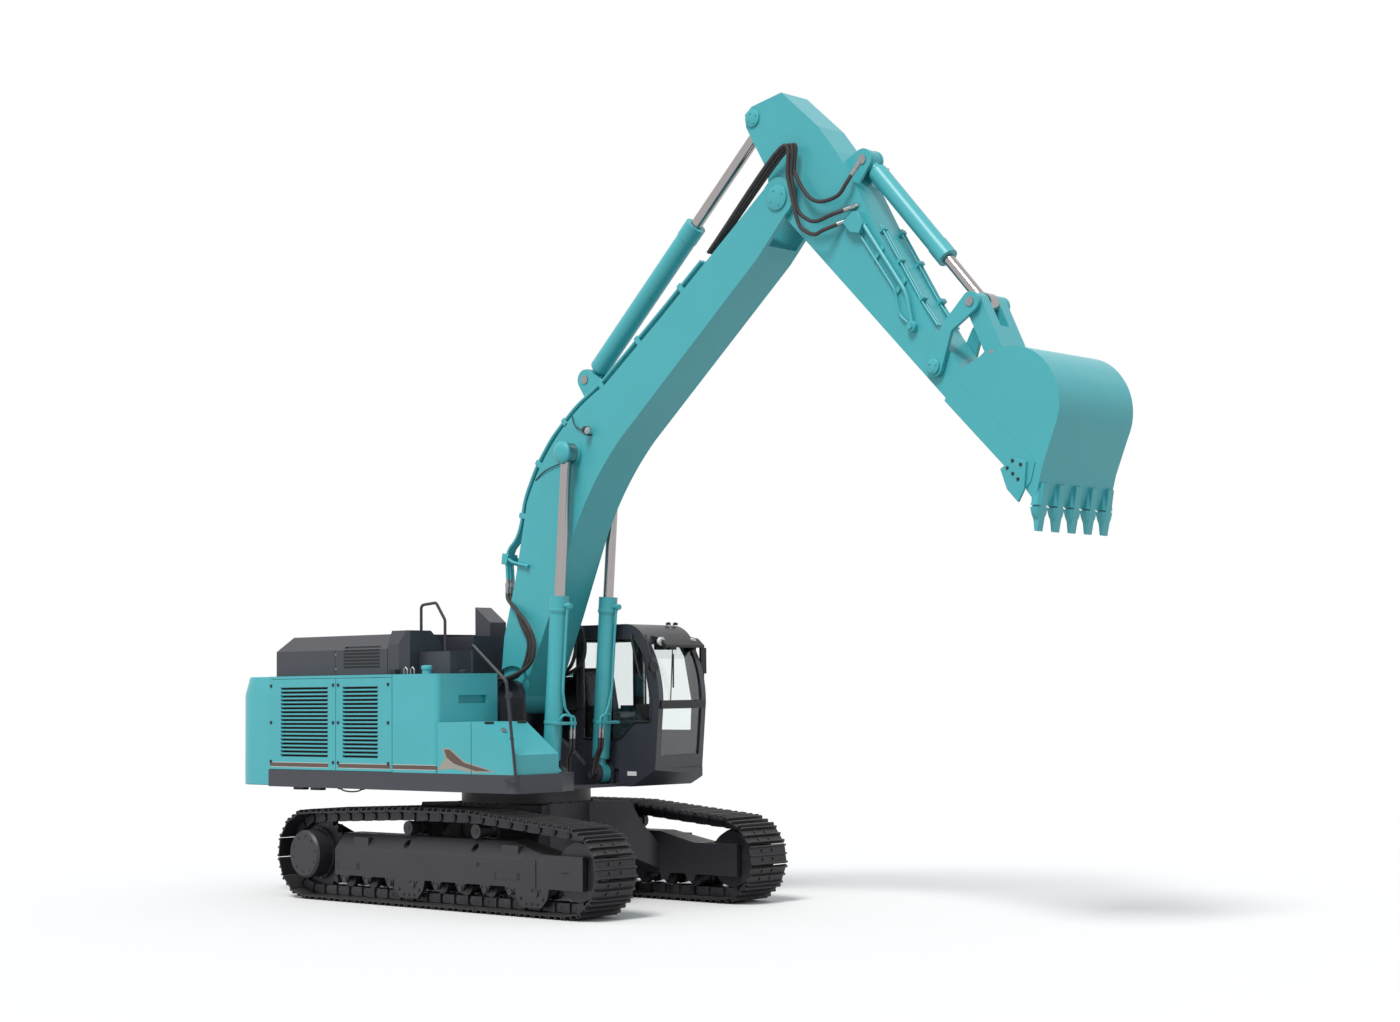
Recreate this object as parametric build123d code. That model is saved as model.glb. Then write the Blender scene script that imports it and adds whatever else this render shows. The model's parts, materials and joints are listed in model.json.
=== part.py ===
from build123d import *
import math
import os

# Crawler excavator of the 50 tonne class, in millimetres.
# +X is forward, +Y is the machine's left, +Z is up, and the ground is z = 0.
# The origin is on the ground under the swing centre.
# The working arm stands as in the photograph: boom high, arm and bucket hanging forward.

# Clearances between pieces
pin_fit = 0.3
seat = 0.3
side_play = 7

# Tracks
tumbler_distance = 4400
track_gauge = 2390
shoe_width = 600
shoe_pitch = 229
shoe_thickness = 14
shoe_gap = 7
grouser_height = 34
grouser_half_width = 14
sprocket_end_radius = 505
idler_end_radius = 470
chain_band = 8
link_height = 105
link_width = 50
link_offset = 85

# Track frames and their wheels
frame_half_width = 200
frame_wall = 35
frame_bottom = 300
frame_top = 770
frame_slope_height = 175
frame_slope_width = 145
fork_top = 655
frame_rear = -tumbler_distance / 2 + 460
frame_front = tumbler_distance / 2 - 410
fork_front = tumbler_distance / 2 + 150
fork_wall = 60
lower_roller_count = 9
lower_roller_first = frame_rear + 180
lower_roller_last = frame_front - 150
lower_roller_radius = 105
carrier_positions = (-540, 600)
carrier_rail = 945
guard_positions = (-430, 1570)
guard_bottom = 95
carrier_radius = 80
roller_half_length = 118
roller_sides = 12
sprocket_teeth = 23
sprocket_tooth_depth = 55
sprocket_width = 80
final_drive_radius = 275
final_drive_flange = 300
final_drive_stub = 238
drive_plate_radius = 330

# Car body and swing bearing
car_body_bottom = 560
car_body_top = 1120
car_body_radius = 780
leg_width = 520
leg_spread = 900
leg_end_bottom = 330
leg_end_top = 620
ring_outer_radius = 740
ring_inner_radius = 600
ring_split_height = 1200
ring_clearance = 0.5

# Revolving frame and house
deck_bottom = 1290
deck_top = 1490
base_plate = 30
skirt = 50
deck_sheet = 15
house_half_width = 1490
house_top = 2585
house_rear = -2880
deck_front_right = 1450
deck_front_inner = 1580
deck_front_left = 1420
nose_bottom = 1200
nose_top = 1600
cover_seat = 2000
front_bay_depth = 1060
front_bay_half_width = 497
tail_radius = 3780
counterweight_half_width = 1470
counterweight_bottom = 1300
counterweight_lean = 220
panel = 40
ledge_bottom = 2555
ledge_inner = 1230
post_depth = 65
post_half = 55
panel_gap = 10
door_seam = -1610
tank_seam = -600
tank_front = 165
tank_inner = 590
tank_corner = 60
tank_recess = 60
toolbox_top = 2050
toolbox_seam = 732
toolbox_front = 1410
toolbox_front_height = 1700
toolbox_slope_start = 900
toolbox_inner = 830
lid_start = 930
lid_thickness = 30
rail_radius = 17
rail_gap = 7
hood_rear = -2980
hood_front = -910
hood_half_width = 1300
hood_shoulder = 2880
hood_top = 3050
hood_sheet = 40
hood_slope = 170
louvre_pitch = 46
louvre_height = 20
engine_length = 1340
engine_half_width = 450
engine_height = 1000

# Cab
cab_inner = 500
cab_outer = 1470
cab_rear = -200
cab_bottom = 1490
cab_top = 3130
cab_wall = 50
cab_front_bottom = 1580
cab_front_belly = 1650
cab_left_setback = 180
cab_belly_height = 2230
cab_brow = 1480
cab_brow_height = 2870
door_rear = 410
door_bottom = 1560
door_top = 2980
glass = 8
seat_width = 490

# Boom: foot pin on the frame, arm pin at its tip
foot_pin_x = 55
foot_pin_z = 2320
boom_length = 6593
boom_angle = 51.4
boom_width = 540
boom_wall = 25
boom_foot_width = 460
boom_foot_radius = 200
boom_foot_recess = 350
boom_fork_depth = 480
boom_cheek = 50
boom_pin_radius = 60

# Boom cylinders
boom_base_x = 815
boom_base_z = 1440
boom_eye_along = 2770
boom_eye_up = 872
boom_barrel_radius = 100
boom_bore_radius = 85
boom_rod_radius = 60
boom_barrel_length = 2005
boom_closed = 2136
boom_eye_radius = 115
boom_eye_width = 130
boom_cylinder_pin = 50
cylinder_lug_radius = 130
collar = 7
barrel_start = 165
barrel_end_wall = 25
gland_length = 80
piston_length = 40
piston_gap = 1
neck_radius = 62

# Arm
arm_length = 3210
arm_angle = -44.6
arm_width = 420
arm_boss_radius = 170
arm_tip_radius = 150
arm_pin_radius = 60

# Arm cylinder
arm_base_along = 3447
arm_base_up = 1387
arm_eye_along = -910
arm_eye_up = 388
arm_barrel_radius = 112
arm_bore_radius = 95
arm_rod_radius = 65
arm_barrel_length = 2250
arm_closed = 2727
arm_eye_radius = 122
arm_eye_width = 140
lug_thickness = 32
arm_cylinder_pin = 50

# Bucket cylinder
bucket_base_along = 529
bucket_base_up = 895
bucket_barrel_radius = 100
bucket_bore_radius = 85
bucket_rod_radius = 60
bucket_barrel_length = 1500
bucket_closed = 1939
bucket_eye_radius = 112
bucket_eye_width = 130
bucket_cylinder_pin = 50

# Rocker, bucket link and bucket
rocker_pin_along = 2800
rocker_pin_up = -11
rocker_length = 742
rocker_angle = 97.3
rocker_thickness = 45
rocker_boss_radius = 100
rocker_bend = 13
rocker_waist = 62
link_pin_radius = 45
bucket_link_length = 600
bucket_link_angle = -20.5
bucket_link_radius = 100
bucket_angle = -9.1
bucket_width = 1240
bucket_plate = 30
bucket_ear = 50
bucket_ear_gap = 434
bucket_ear_radius = 122
tooth_count = 5
tooth_width = 90
lip_outside = (1590, 190)
lip_inside = (1536, 205)


def point_from(origin, angle, along, up):
    """World point (x, z) of a place given along and above a line at an angle."""
    turn = math.radians(angle)
    x = origin[0] + along * math.cos(turn) - up * math.sin(turn)
    z = origin[1] + along * math.sin(turn) + up * math.cos(turn)
    return (x, z)


def distance(a, b):
    return math.hypot(b[0] - a[0], b[1] - a[1])


def heading(a, b):
    return math.degrees(math.atan2(b[1] - a[1], b[0] - a[0]))


# The boom cylinders stand beside the boom, and their collars clear its sides
boom_cylinder_y = boom_width / 2 + side_play + boom_barrel_radius + collar

# The handrail stands clear of the lid's side
rail_y = house_half_width + rail_gap + rail_radius

# Pin centres in the side view
foot_pin = (foot_pin_x, foot_pin_z)
arm_pin = point_from(foot_pin, boom_angle, boom_length, 0)
boom_base = (boom_base_x, boom_base_z)
boom_eye = point_from(foot_pin, boom_angle, boom_eye_along, boom_eye_up)
arm_base = point_from(foot_pin, boom_angle, arm_base_along, arm_base_up)
arm_eye = point_from(arm_pin, arm_angle, arm_eye_along, arm_eye_up)
bucket_pin = point_from(arm_pin, arm_angle, arm_length, 0)
rocker_pin = point_from(arm_pin, arm_angle, rocker_pin_along, rocker_pin_up)
bucket_base = point_from(arm_pin, arm_angle, bucket_base_along, bucket_base_up)
link_pin = point_from(rocker_pin, arm_angle + rocker_angle, rocker_length, 0)
ear_pin = point_from(link_pin, arm_angle + bucket_link_angle, bucket_link_length, 0)


def slab(face, low, high):
    """A side-view face, drawn as (x, z), made solid between two y values."""
    return Plane.XZ * Pos(0, 0, -high) * extrude(face, amount=high - low, dir=(0, 0, 1))


def lengthwise(face, low, high):
    """A front-view face, drawn as (y, z), made solid between two x values."""
    return Plane.YZ * Pos(0, 0, low) * extrude(face, amount=high - low, dir=(0, 0, 1))


def upright(face, low, high):
    """A plan-view face, drawn as (x, y), made solid between two heights."""
    return Pos(0, 0, low) * extrude(face, amount=high - low, dir=(0, 0, 1))


def outline(start, *steps):
    """A closed face. A step is a corner, or a pair (point on an arc, end of the arc)."""
    edges = []
    here = start
    for step in steps:
        if isinstance(step[0], tuple):
            middle, end = step
            edges.append(ThreePointArc(here, middle, end))
        else:
            end = step
            edges.append(Line(here, end))
        here = end
    edges.append(Line(here, start))
    return make_face(edges)


def box(x, y, z):
    """A block from three (low, high) pairs."""
    size = Box(x[1] - x[0], y[1] - y[0], z[1] - z[0])
    return Pos((x[0] + x[1]) / 2, (y[0] + y[1]) / 2, (z[0] + z[1]) / 2) * size


def disc(centre, radius, low, high):
    """A cylinder across the machine."""
    return slab(Pos(*centre) * Circle(radius), low, high)


def both_sides(low, high):
    """The y ranges of a pair of pieces, left and right."""
    return ((low, high), (-high, -low))


def bar_face(a, a_radius, b, b_radius):
    """The face of a link plate: two round ends and their common tangents."""
    ends = (Pos(*a) * Circle(a_radius)).edges() + (Pos(*b) * Circle(b_radius)).edges()
    return make_hull(ends)


# Tracks

tread_depth = shoe_thickness + grouser_height
rear_radius = math.hypot(sprocket_end_radius - tread_depth, shoe_pitch / 2)
front_radius = math.hypot(idler_end_radius - tread_depth, shoe_pitch / 2)
sprocket_centre = (-tumbler_distance / 2, rear_radius + tread_depth)
idler_centre = (tumbler_distance / 2, front_radius + tread_depth)
crests = [(x, carrier_rail + link_height + chain_band) for x in reversed(carrier_positions)]


def on_circle(centre, radius, turn):
    return (centre[0] + radius * math.cos(turn), centre[1] + radius * math.sin(turn))


def tangent_turn(centre, radius, point, sign):
    """Where round a circle the straight line from a point outside touches it."""
    return math.radians(heading(centre, point)) + sign * math.acos(radius / distance(centre, point))


front_leave = tangent_turn(idler_centre, front_radius, crests[0], -1)
rear_meet = tangent_turn(sprocket_centre, rear_radius, crests[1], 1)
top_run = [on_circle(idler_centre, front_radius, front_leave), *crests,
           on_circle(sprocket_centre, rear_radius, rear_meet)]
front_arc = front_radius * (front_leave + math.pi / 2)
rear_arc = rear_radius * (3 * math.pi / 2 - rear_meet)


def loop_point(travel):
    """A point on the chain's outer face, from under the sprocket forward and round."""
    if travel < tumbler_distance:
        return (sprocket_centre[0] + travel, tread_depth)
    travel -= tumbler_distance
    if travel < front_arc:
        return on_circle(idler_centre, front_radius, travel / front_radius - math.pi / 2)
    travel -= front_arc
    for a, b in zip(top_run, top_run[1:]):
        share = travel / distance(a, b)
        if share < 1:
            return (a[0] + share * (b[0] - a[0]), a[1] + share * (b[1] - a[1]))
        travel -= distance(a, b)
    return on_circle(sprocket_centre, rear_radius, rear_meet + travel / rear_radius)


loop_length = tumbler_distance + front_arc + rear_arc
loop_length += sum(distance(a, b) for a, b in zip(top_run, top_run[1:]))
shoe_count = round(loop_length / shoe_pitch)
shoe_ends = [loop_point(loop_length * n / shoe_count) for n in range(shoe_count)]


def shoe_frame(n):
    """Start, forward direction, outward direction and length of one shoe."""
    a = shoe_ends[n % shoe_count]
    b = shoe_ends[(n + 1) % shoe_count]
    length = distance(a, b)
    along = ((b[0] - a[0]) / length, (b[1] - a[1]) / length)
    return a, along, (along[1], -along[0]), length


def tread_profile():
    """The outside of the track: every shoe with its three grousers."""
    corners = []
    for n in range(shoe_count):
        start, along, out, length = shoe_frame(n)
        bumps = (shoe_gap + grouser_half_width, length / 2, length - shoe_gap - grouser_half_width)
        shoe = [(0, 0)]
        for centre in bumps:
            shoe.append((centre - grouser_half_width, shoe_thickness))
            shoe.append((centre, shoe_thickness + grouser_height))
            shoe.append((centre + grouser_half_width, shoe_thickness))
        for t, h in shoe:
            corners.append((start[0] + t * along[0] + h * out[0], start[1] + t * along[1] + h * out[1]))
    return Polygon(*corners, align=None)


def chain_profile(depth):
    """The loop at a depth inside the shoes, with a corner only where it bends."""
    corners = []
    for n in range(shoe_count):
        before = shoe_frame(n - 1)[2]
        start, _, out, _ = shoe_frame(n)
        cosine = before[0] * out[0] + before[1] * out[1]
        if cosine > 0.99999:
            continue
        scale = depth / (1 + cosine)
        corners.append((start[0] - scale * (before[0] + out[0]), start[1] - scale * (before[1] + out[1])))
    return Polygon(*corners, align=None)


def track(centre_y):
    inside = chain_profile(chain_band)
    shoes = slab(tread_profile() - inside, -shoe_width / 2, shoe_width / 2)
    rail = inside - chain_profile(chain_band + link_height)
    for low, high in both_sides(link_offset - link_width / 2, link_offset + link_width / 2):
        shoes += slab(rail, low, high)
    return Pos(0, centre_y, 0) * shoes


# The straight inner faces of the chain, where wheels run
half_turn = math.cos(shoe_pitch / (2 * rear_radius))
front_half_turn = math.cos(shoe_pitch / (2 * front_radius))
front_tread = front_radius * front_half_turn - chain_band - link_height - seat
lower_rail = tread_depth + chain_band + link_height


def sprocket(centre_y):
    tip = rear_radius * half_turn - chain_band - 3 * seat
    root = tip - sprocket_tooth_depth
    corners = []
    step = 2 * math.pi / sprocket_teeth
    for n in range(sprocket_teeth):
        for share, radius in ((-0.38, root), (-0.14, tip), (0.14, tip), (0.38, root)):
            turn = (n + share) * step
            corners.append((radius * math.cos(turn), radius * math.sin(turn)))
    face = Polygon(*corners, align=None) - Circle(final_drive_stub + pin_fit)
    wheel = slab(Pos(*sprocket_centre) * face, -sprocket_width / 2, sprocket_width / 2)
    return Pos(0, centre_y, 0) * wheel


def final_drive(side):
    """Motor, stub through the sprocket, flange and domed cover, out to the shoe's edge."""
    cover = shoe_width / 2 - 1
    inner = -frame_half_width + frame_wall
    profile = Polygon(
        (0, inner),
        (final_drive_stub, inner),
        (final_drive_stub, sprocket_width / 2),
        (final_drive_flange, sprocket_width / 2),
        (final_drive_flange, sprocket_width / 2 + 45),
        (final_drive_radius, sprocket_width / 2 + 45),
        (final_drive_radius, cover - 25),
        (final_drive_radius - 25, cover),
        (0, cover),
        align=None,
    )
    drive = Pos(sprocket_centre[0], 0, sprocket_centre[1]) * revolve(profile, Axis.Y)
    if side < 0:
        drive = mirror(drive, Plane.XZ)
    return Pos(0, side * track_gauge / 2, 0) * drive


def idler(centre_y):
    rail_edge = link_offset + link_width / 2 + 5
    guide = link_offset - link_width / 2 - 5
    axle = frame_half_width - fork_wall - seat
    profile = Polygon(
        (0, -axle), (60, -axle), (60, -rail_edge), (front_tread, -rail_edge), (front_tread, -guide),
        (front_tread + 25, -guide + 8), (front_tread + 25, guide - 8), (front_tread, guide),
        (front_tread, rail_edge), (60, rail_edge), (60, axle), (0, axle),
        align=None,
    )
    return Pos(idler_centre[0], centre_y, idler_centre[1]) * revolve(profile, Axis.Y)


def roller_face(radius):
    """Twelve-sided face round a circle's inside, with a corner straight down."""
    return RegularPolygon(radius, roller_sides, rotation=-90)


def roller(x, z, radius, centre_y, inner_end, outer_end):
    """Two treads with a waist, on a shaft that reaches its holders."""
    waist = link_offset - link_width / 2 - 8
    body = slab(roller_face(30), inner_end, outer_end)
    body += slab(roller_face(radius * 0.8), -waist, waist)
    for low, high in both_sides(waist, roller_half_length):
        body += slab(roller_face(radius), low, high)
    return Pos(x, centre_y, z) * body


def lower_roller_places():
    pitch = (lower_roller_last - lower_roller_first) / (lower_roller_count - 1)
    return [lower_roller_first + n * pitch for n in range(lower_roller_count)]


def lower_rollers(centre_y):
    z = lower_rail + lower_roller_radius + seat
    end = frame_half_width - frame_wall - seat
    return [roller(x, z, lower_roller_radius, centre_y, -end, end) for x in lower_roller_places()]


def carrier_height(x):
    """The axle height of a carrier roller under the links of the top run."""
    gap = carrier_radius + chain_band + link_height + 2 * seat
    heights = []
    for n in range(shoe_count):
        start, along, out, length = shoe_frame(n)
        if out[1] < 0.5:
            continue
        reach = (x - start[0]) / along[0]
        if -length / 2 < reach < 1.5 * length:
            heights.append(start[1] + along[1] * reach - gap / out[1])
    return min(heights)


def carrier_rollers(side):
    rollers = []
    for x in carrier_positions:
        reach = sorted((-side * (roller_half_length + 20), side * (roller_half_length + 5)))
        rollers.append(roller(x, carrier_height(x), carrier_radius, side * track_gauge / 2, *reach))
    return rollers


def track_frame(side):
    """Inverted channel over the rollers, fork round the idler, plate for the final drive."""
    w = frame_half_width
    inner = w - frame_wall
    roof = lower_rail + 2 * lower_roller_radius + 25
    channel = Polygon(
        (-w, frame_bottom), (-inner, frame_bottom), (-inner, roof), (inner, roof), (inner, frame_bottom),
        (w, frame_bottom), (w, frame_top - frame_slope_height), (w - frame_slope_width, frame_top),
        (-w, frame_top),
        align=None,
    )
    body = lengthwise(channel, frame_rear, frame_front)
    for low, high in both_sides(w - fork_wall, w):
        body += box((frame_front, fork_front), (low, high), (frame_bottom, fork_top))
    slope_cut = Polygon(
        (fork_front + 1, frame_top + 1), (fork_front + 1, fork_top), (frame_front - 100, fork_top),
        (frame_front - 640, frame_top + 1),
        align=None,
    )
    body -= slab(slope_cut, -w - 1, w + 1)
    for x in carrier_positions:
        body -= disc((x, frame_top - frame_slope_height / 2), 45, w - frame_slope_width, w + 1)
    plate = bar_face((frame_rear + 100, sprocket_centre[1] - 40), 190, sprocket_centre, drive_plate_radius)
    cut = Pos(frame_rear + 100 + 500, sprocket_centre[1]) * Rectangle(1000, 1000)
    body += slab(plate - cut, -w, -w + frame_wall)
    for x in carrier_positions:
        z = carrier_height(x)
        stand = box((x - 60, x + 60), (-w + 20, -roller_half_length - 20), (frame_top - 5, z + 40))
        body += stand
    for centre in guard_positions:
        guard = Polygon(
            (centre - 270, frame_bottom), (centre - 240, 190), (centre - 150, guard_bottom),
            (centre + 150, guard_bottom), (centre + 240, 190), (centre + 270, frame_bottom),
            align=None,
        )
        body += slab(guard, w - frame_wall, w)
    for x in lower_roller_places():
        z = lower_rail + lower_roller_radius
        holder = Polygon(
            (x - 85, frame_bottom), (x - 40, z - 50), (x + 40, z - 50), (x + 85, frame_bottom), align=None
        )
        for low, high in both_sides(w - frame_wall, w):
            body += slab(holder, low, high)
    if side < 0:
        body = mirror(body, Plane.XZ)
    return Pos(0, side * track_gauge / 2, 0) * body


def car_body():
    """Centre drum with four legs that arch down to the track frames."""
    reach = track_gauge / 2 - frame_half_width
    plan = Circle(car_body_radius)
    for sx in (-1, 1):
        for sy in (-1, 1):
            inner = Pos(sx * 350, sy * 250) * Circle(leg_width / 2)
            outer = Pos(sx * leg_spread, sy * reach) * Circle(leg_width / 2)
            plan += make_hull(inner.edges() + outer.edges())
    plan &= Rectangle(3 * leg_spread, 2 * reach)
    blank = upright(plan, leg_end_bottom, car_body_top)
    shoulder = car_body_radius * 0.9
    front = outline(
        (-reach, leg_end_bottom), (-reach, leg_end_top), ((-reach * 0.86, leg_end_top + 160),
        (-shoulder, car_body_top)), (shoulder, car_body_top),
        ((reach * 0.86, leg_end_top + 160), (reach, leg_end_top)), (reach, leg_end_bottom),
        (0.55 * reach, car_body_bottom), (-0.55 * reach, car_body_bottom),
    )
    return blank & lengthwise(front, -2 * leg_spread, 2 * leg_spread)


def bearing_ring(low, high):
    return upright(Circle(ring_outer_radius) - Circle(ring_inner_radius), low, high)


# Revolving frame

def bracket_plate():
    """Side view of the two tall plates that carry the boom foot and the cylinder feet."""
    top = deck_bottom + base_plate
    boss = bar_face(foot_pin, 190, (foot_pin_x - 150, top + 300), 400)
    foot = Pos(*boom_base) * Circle(cylinder_lug_radius)
    foot += Polygon(boom_base, (500, 1700), (200, 1900), (200, top), (boom_base_x + 90, top), align=None)
    rib = Polygon((-1100, top), (-860, cover_seat), (-330, cover_seat), (200, 1900), (200, top), align=None)
    floor = Pos(0, top - 1000) * Rectangle(6000, 2000)
    return (boss + foot + rib) - floor


def revolving_frame():
    plan = outline(
        (house_rear, -house_half_width), (deck_front_right - 60, -house_half_width),
        ((deck_front_right - 18, -house_half_width + 18), (deck_front_right, -house_half_width + 60)),
        (deck_front_right, -toolbox_inner + 20), (deck_front_right - 150, -front_bay_half_width),
        (front_bay_depth, -front_bay_half_width), (front_bay_depth, front_bay_half_width),
        (deck_front_inner, front_bay_half_width),
        (deck_front_left + 8, house_half_width - 60),
        ((deck_front_left - 18, house_half_width - 18), (deck_front_left - 60, house_half_width)),
        (house_rear, house_half_width),
    )
    top_of_plate = deck_bottom + base_plate
    frame = upright(plan, deck_bottom, top_of_plate)
    rim = plan - offset(plan, amount=-skirt)
    rim -= Pos(house_rear, 0) * Rectangle(3 * skirt, 2 * house_half_width - 4 * skirt)
    rim -= Pos(front_bay_depth, 0) * Rectangle(3 * skirt, 2 * front_bay_half_width + 1)
    frame += upright(rim, top_of_plate, deck_top)
    nose = Polygon((nose_bottom, deck_bottom), (nose_bottom - skirt, deck_bottom), (nose_bottom - skirt, top_of_plate),
                   (nose_top - 2 * skirt, deck_top), (nose_top, deck_top), align=None)
    frame += slab(nose, front_bay_half_width, house_half_width) & upright(plan, deck_bottom, deck_top)
    under = Polygon((nose_bottom, deck_bottom), (nose_top, deck_top), (nose_top + 1, deck_bottom - 1),
                    (nose_bottom, deck_bottom - 1), align=None)
    frame -= slab(under, front_bay_half_width - 1, house_half_width + 1)
    for side in (-1, 1):
        front = deck_front_right if side < 0 else deck_front_left
        rear = house_rear
        low, high = sorted((side * (front_bay_half_width + 30), side * (house_half_width - skirt)))
        sheet = box((rear, front - 3 * skirt), (low, high), (deck_top - deck_sheet, deck_top))
        inner_low, inner_high = sorted((side * (front_bay_half_width + 30), side * (front_bay_half_width + 60)))
        web = box((rear, front - 5 * skirt), (inner_low, inner_high), (top_of_plate, deck_top))
        frame += sheet + web
    inner = boom_foot_width / 2 + 5
    outer = boom_cylinder_y - boom_eye_width / 2 - side_play
    for low, high in both_sides(inner, outer):
        plate = slab(bracket_plate(), low, high)
        plate -= disc(foot_pin, boom_pin_radius + pin_fit, low - 1, high + 1)
        plate -= disc(boom_base, boom_cylinder_pin + pin_fit, low - 1, high + 1)
        frame += plate
    near = boom_cylinder_y + boom_eye_width / 2 + side_play
    ear = bar_face(boom_base, cylinder_lug_radius, (boom_base_x - 60, deck_bottom), 180)
    ear -= Pos(boom_base_x, top_of_plate - 500) * Rectangle(1000, 1000)
    ear -= Pos(*boom_base) * Circle(boom_cylinder_pin + pin_fit)
    for low, high in both_sides(near, near + lug_thickness):
        frame += slab(ear, low, high)
    return frame


def frame_pins():
    """Boom foot pin and the two cylinder foot pins."""
    reach = boom_cylinder_y - boom_eye_width / 2 - side_play + 15
    pins = [disc(foot_pin, boom_pin_radius, -reach, reach)]
    start = boom_foot_width / 2 + 10
    end = boom_cylinder_y + boom_eye_width / 2 + side_play + lug_thickness + 5
    for low, high in both_sides(start, end):
        pins.append(disc(boom_base, boom_cylinder_pin, low, high))
    return pins


def counterweight():
    w = counterweight_half_width
    corner = 1100
    rear = -math.sqrt(tail_radius ** 2 - corner ** 2)
    plan = outline(
        (house_rear, -w), (house_rear - 330, -w), ((rear + 75, -w + 145), (rear, -corner)),
        ((-tail_radius, 0), (rear, corner)), ((rear + 75, w - 145), (house_rear - 330, w)), (house_rear, w),
    )
    body = upright(plan, counterweight_bottom, house_top - counterweight_lean)
    cap = extrude(plan, amount=counterweight_lean, taper=10)
    body += Pos(0, 0, house_top - counterweight_lean) * cap
    body += box((house_rear - 200, house_rear), (40 - w, w - 40), (house_top - counterweight_lean, house_top))
    recess = box((house_rear - 220, house_rear + 1), (-950, 950), (counterweight_bottom + 250, house_top - 260))
    return body - recess


def engine_block():
    floor = deck_bottom + base_plate
    rear = house_rear + 350
    return box((rear, rear + engine_length), (-engine_half_width, engine_half_width), (floor, floor + engine_height))


def hood_section(inset):
    w = hood_half_width - inset
    low = house_top if inset == 0 else house_top - 1
    return Polygon(
        (-w, low), (-w, hood_shoulder), (-w + 130, hood_top - inset), (w - 130, hood_top - inset),
        (w, hood_shoulder), (w, low),
        align=None,
    )


def hood_form(inset):
    """The hood's outside, or its inside one sheet in, with the top sloped down at the rear."""
    form = lengthwise(hood_section(inset), hood_rear + inset, hood_front - inset)
    run = hood_slope + inset * math.sqrt(2)
    slope = Polygon((hood_rear - 1, hood_top + 1), (hood_rear - 1, hood_top - run), (hood_rear + run + 1, hood_top + 1),
                    align=None)
    return form - slab(slope, -hood_half_width - 1, hood_half_width + 1)


def engine_hood():
    shell = hood_form(0) - hood_form(hood_sheet)
    for n in range(5):
        z = hood_shoulder - 135 + n * 38
        shell -= box((-1700, -1050), (-hood_half_width - 1, -hood_half_width + hood_sheet + 1), (z, z + 20))
    return shell


def side_door(side, rear, front, louvre_rear, louvre_front):
    low, high = sorted((side * house_half_width, side * (house_half_width - panel)))
    door = box((rear, front), (low, high), (deck_top + panel_gap / 2, ledge_bottom - panel_gap / 2))
    for n in range(18):
        z = 1645 + n * louvre_pitch
        door -= box((louvre_rear, louvre_front), (low - 1, high + 1), (z, z + louvre_height))
    return door


def house_frame():
    """Posts behind the door seams, under a ledge that carries the hood."""
    sides = []
    for side, front in ((-1, tank_seam - panel_gap / 2), (1, cab_rear - 120)):
        low, high = sorted((side * ledge_inner, side * house_half_width))
        frame = box((house_rear, front), (low, high), (ledge_bottom, house_top))
        low, high = sorted((side * (house_half_width - panel - post_depth), side * (house_half_width - panel)))
        for x in (house_rear + post_half, door_seam, front - post_half):
            frame += box((x - post_half, x + post_half), (low, high), (deck_top, ledge_bottom))
        sides.append(frame)
    return sides


def tanks():
    """Fuel and hydraulic tanks in one welded block, with a rounded front corner and a hand recess."""
    rear = tank_seam + panel_gap / 2
    w = house_half_width
    r = tank_corner
    face = outline(
        (rear, -w), (tank_front - r, -w), ((tank_front - 0.29 * r, -w + 0.29 * r), (tank_front, -w + r)),
        (tank_front, -tank_inner), (rear, -tank_inner),
    )
    middle = -(w + tank_inner) / 2
    recess = box((tank_front - tank_recess, tank_front + 1), (middle - 130, middle + 290), (2255, 2345))
    return upright(face, deck_top, house_top) - recess


def toolbox_profile():
    return Polygon(
        (toolbox_seam + panel_gap / 2, deck_top), (toolbox_seam + panel_gap / 2, toolbox_top),
        (toolbox_slope_start, toolbox_top), (toolbox_front, toolbox_front_height), (toolbox_front, deck_top),
        align=None,
    )


def lid_profile():
    """The sloping lid, seen from the side."""
    run = toolbox_front - toolbox_slope_start
    drop = toolbox_top - toolbox_front_height
    length = math.hypot(run, drop)
    back = (drop / length * lid_thickness, run / length * lid_thickness)
    start = (lid_start, toolbox_top - (lid_start - toolbox_slope_start) * drop / run)
    end = (toolbox_front, toolbox_front_height)
    return Polygon(
        start, (start[0] - back[0], start[1] - back[1]), (end[0] - back[0], end[1] - back[1]), end, align=None
    )


def toolbox():
    """Rear box and front box; the front one is hollow under its lid."""
    rear = box((tank_front + panel_gap, toolbox_seam - panel_gap / 2), (-house_half_width, -toolbox_inner),
               (deck_top, toolbox_top))
    front = slab(toolbox_profile(), -house_half_width, -toolbox_inner)
    front -= slab(lid_profile(), -house_half_width - 1, -toolbox_inner + 1)
    front -= box((lid_start + 20, toolbox_front - panel), (-house_half_width + panel, -toolbox_inner - panel),
                 (deck_top + panel, toolbox_top))
    return [rear, front]


def toolbox_lid():
    return slab(lid_profile(), -house_half_width, -toolbox_inner)


def additive_tank():
    return box((tank_front + 15, tank_front + 235), (-tank_inner + 20, -tank_inner + 180), (deck_top, 2305))


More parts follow.
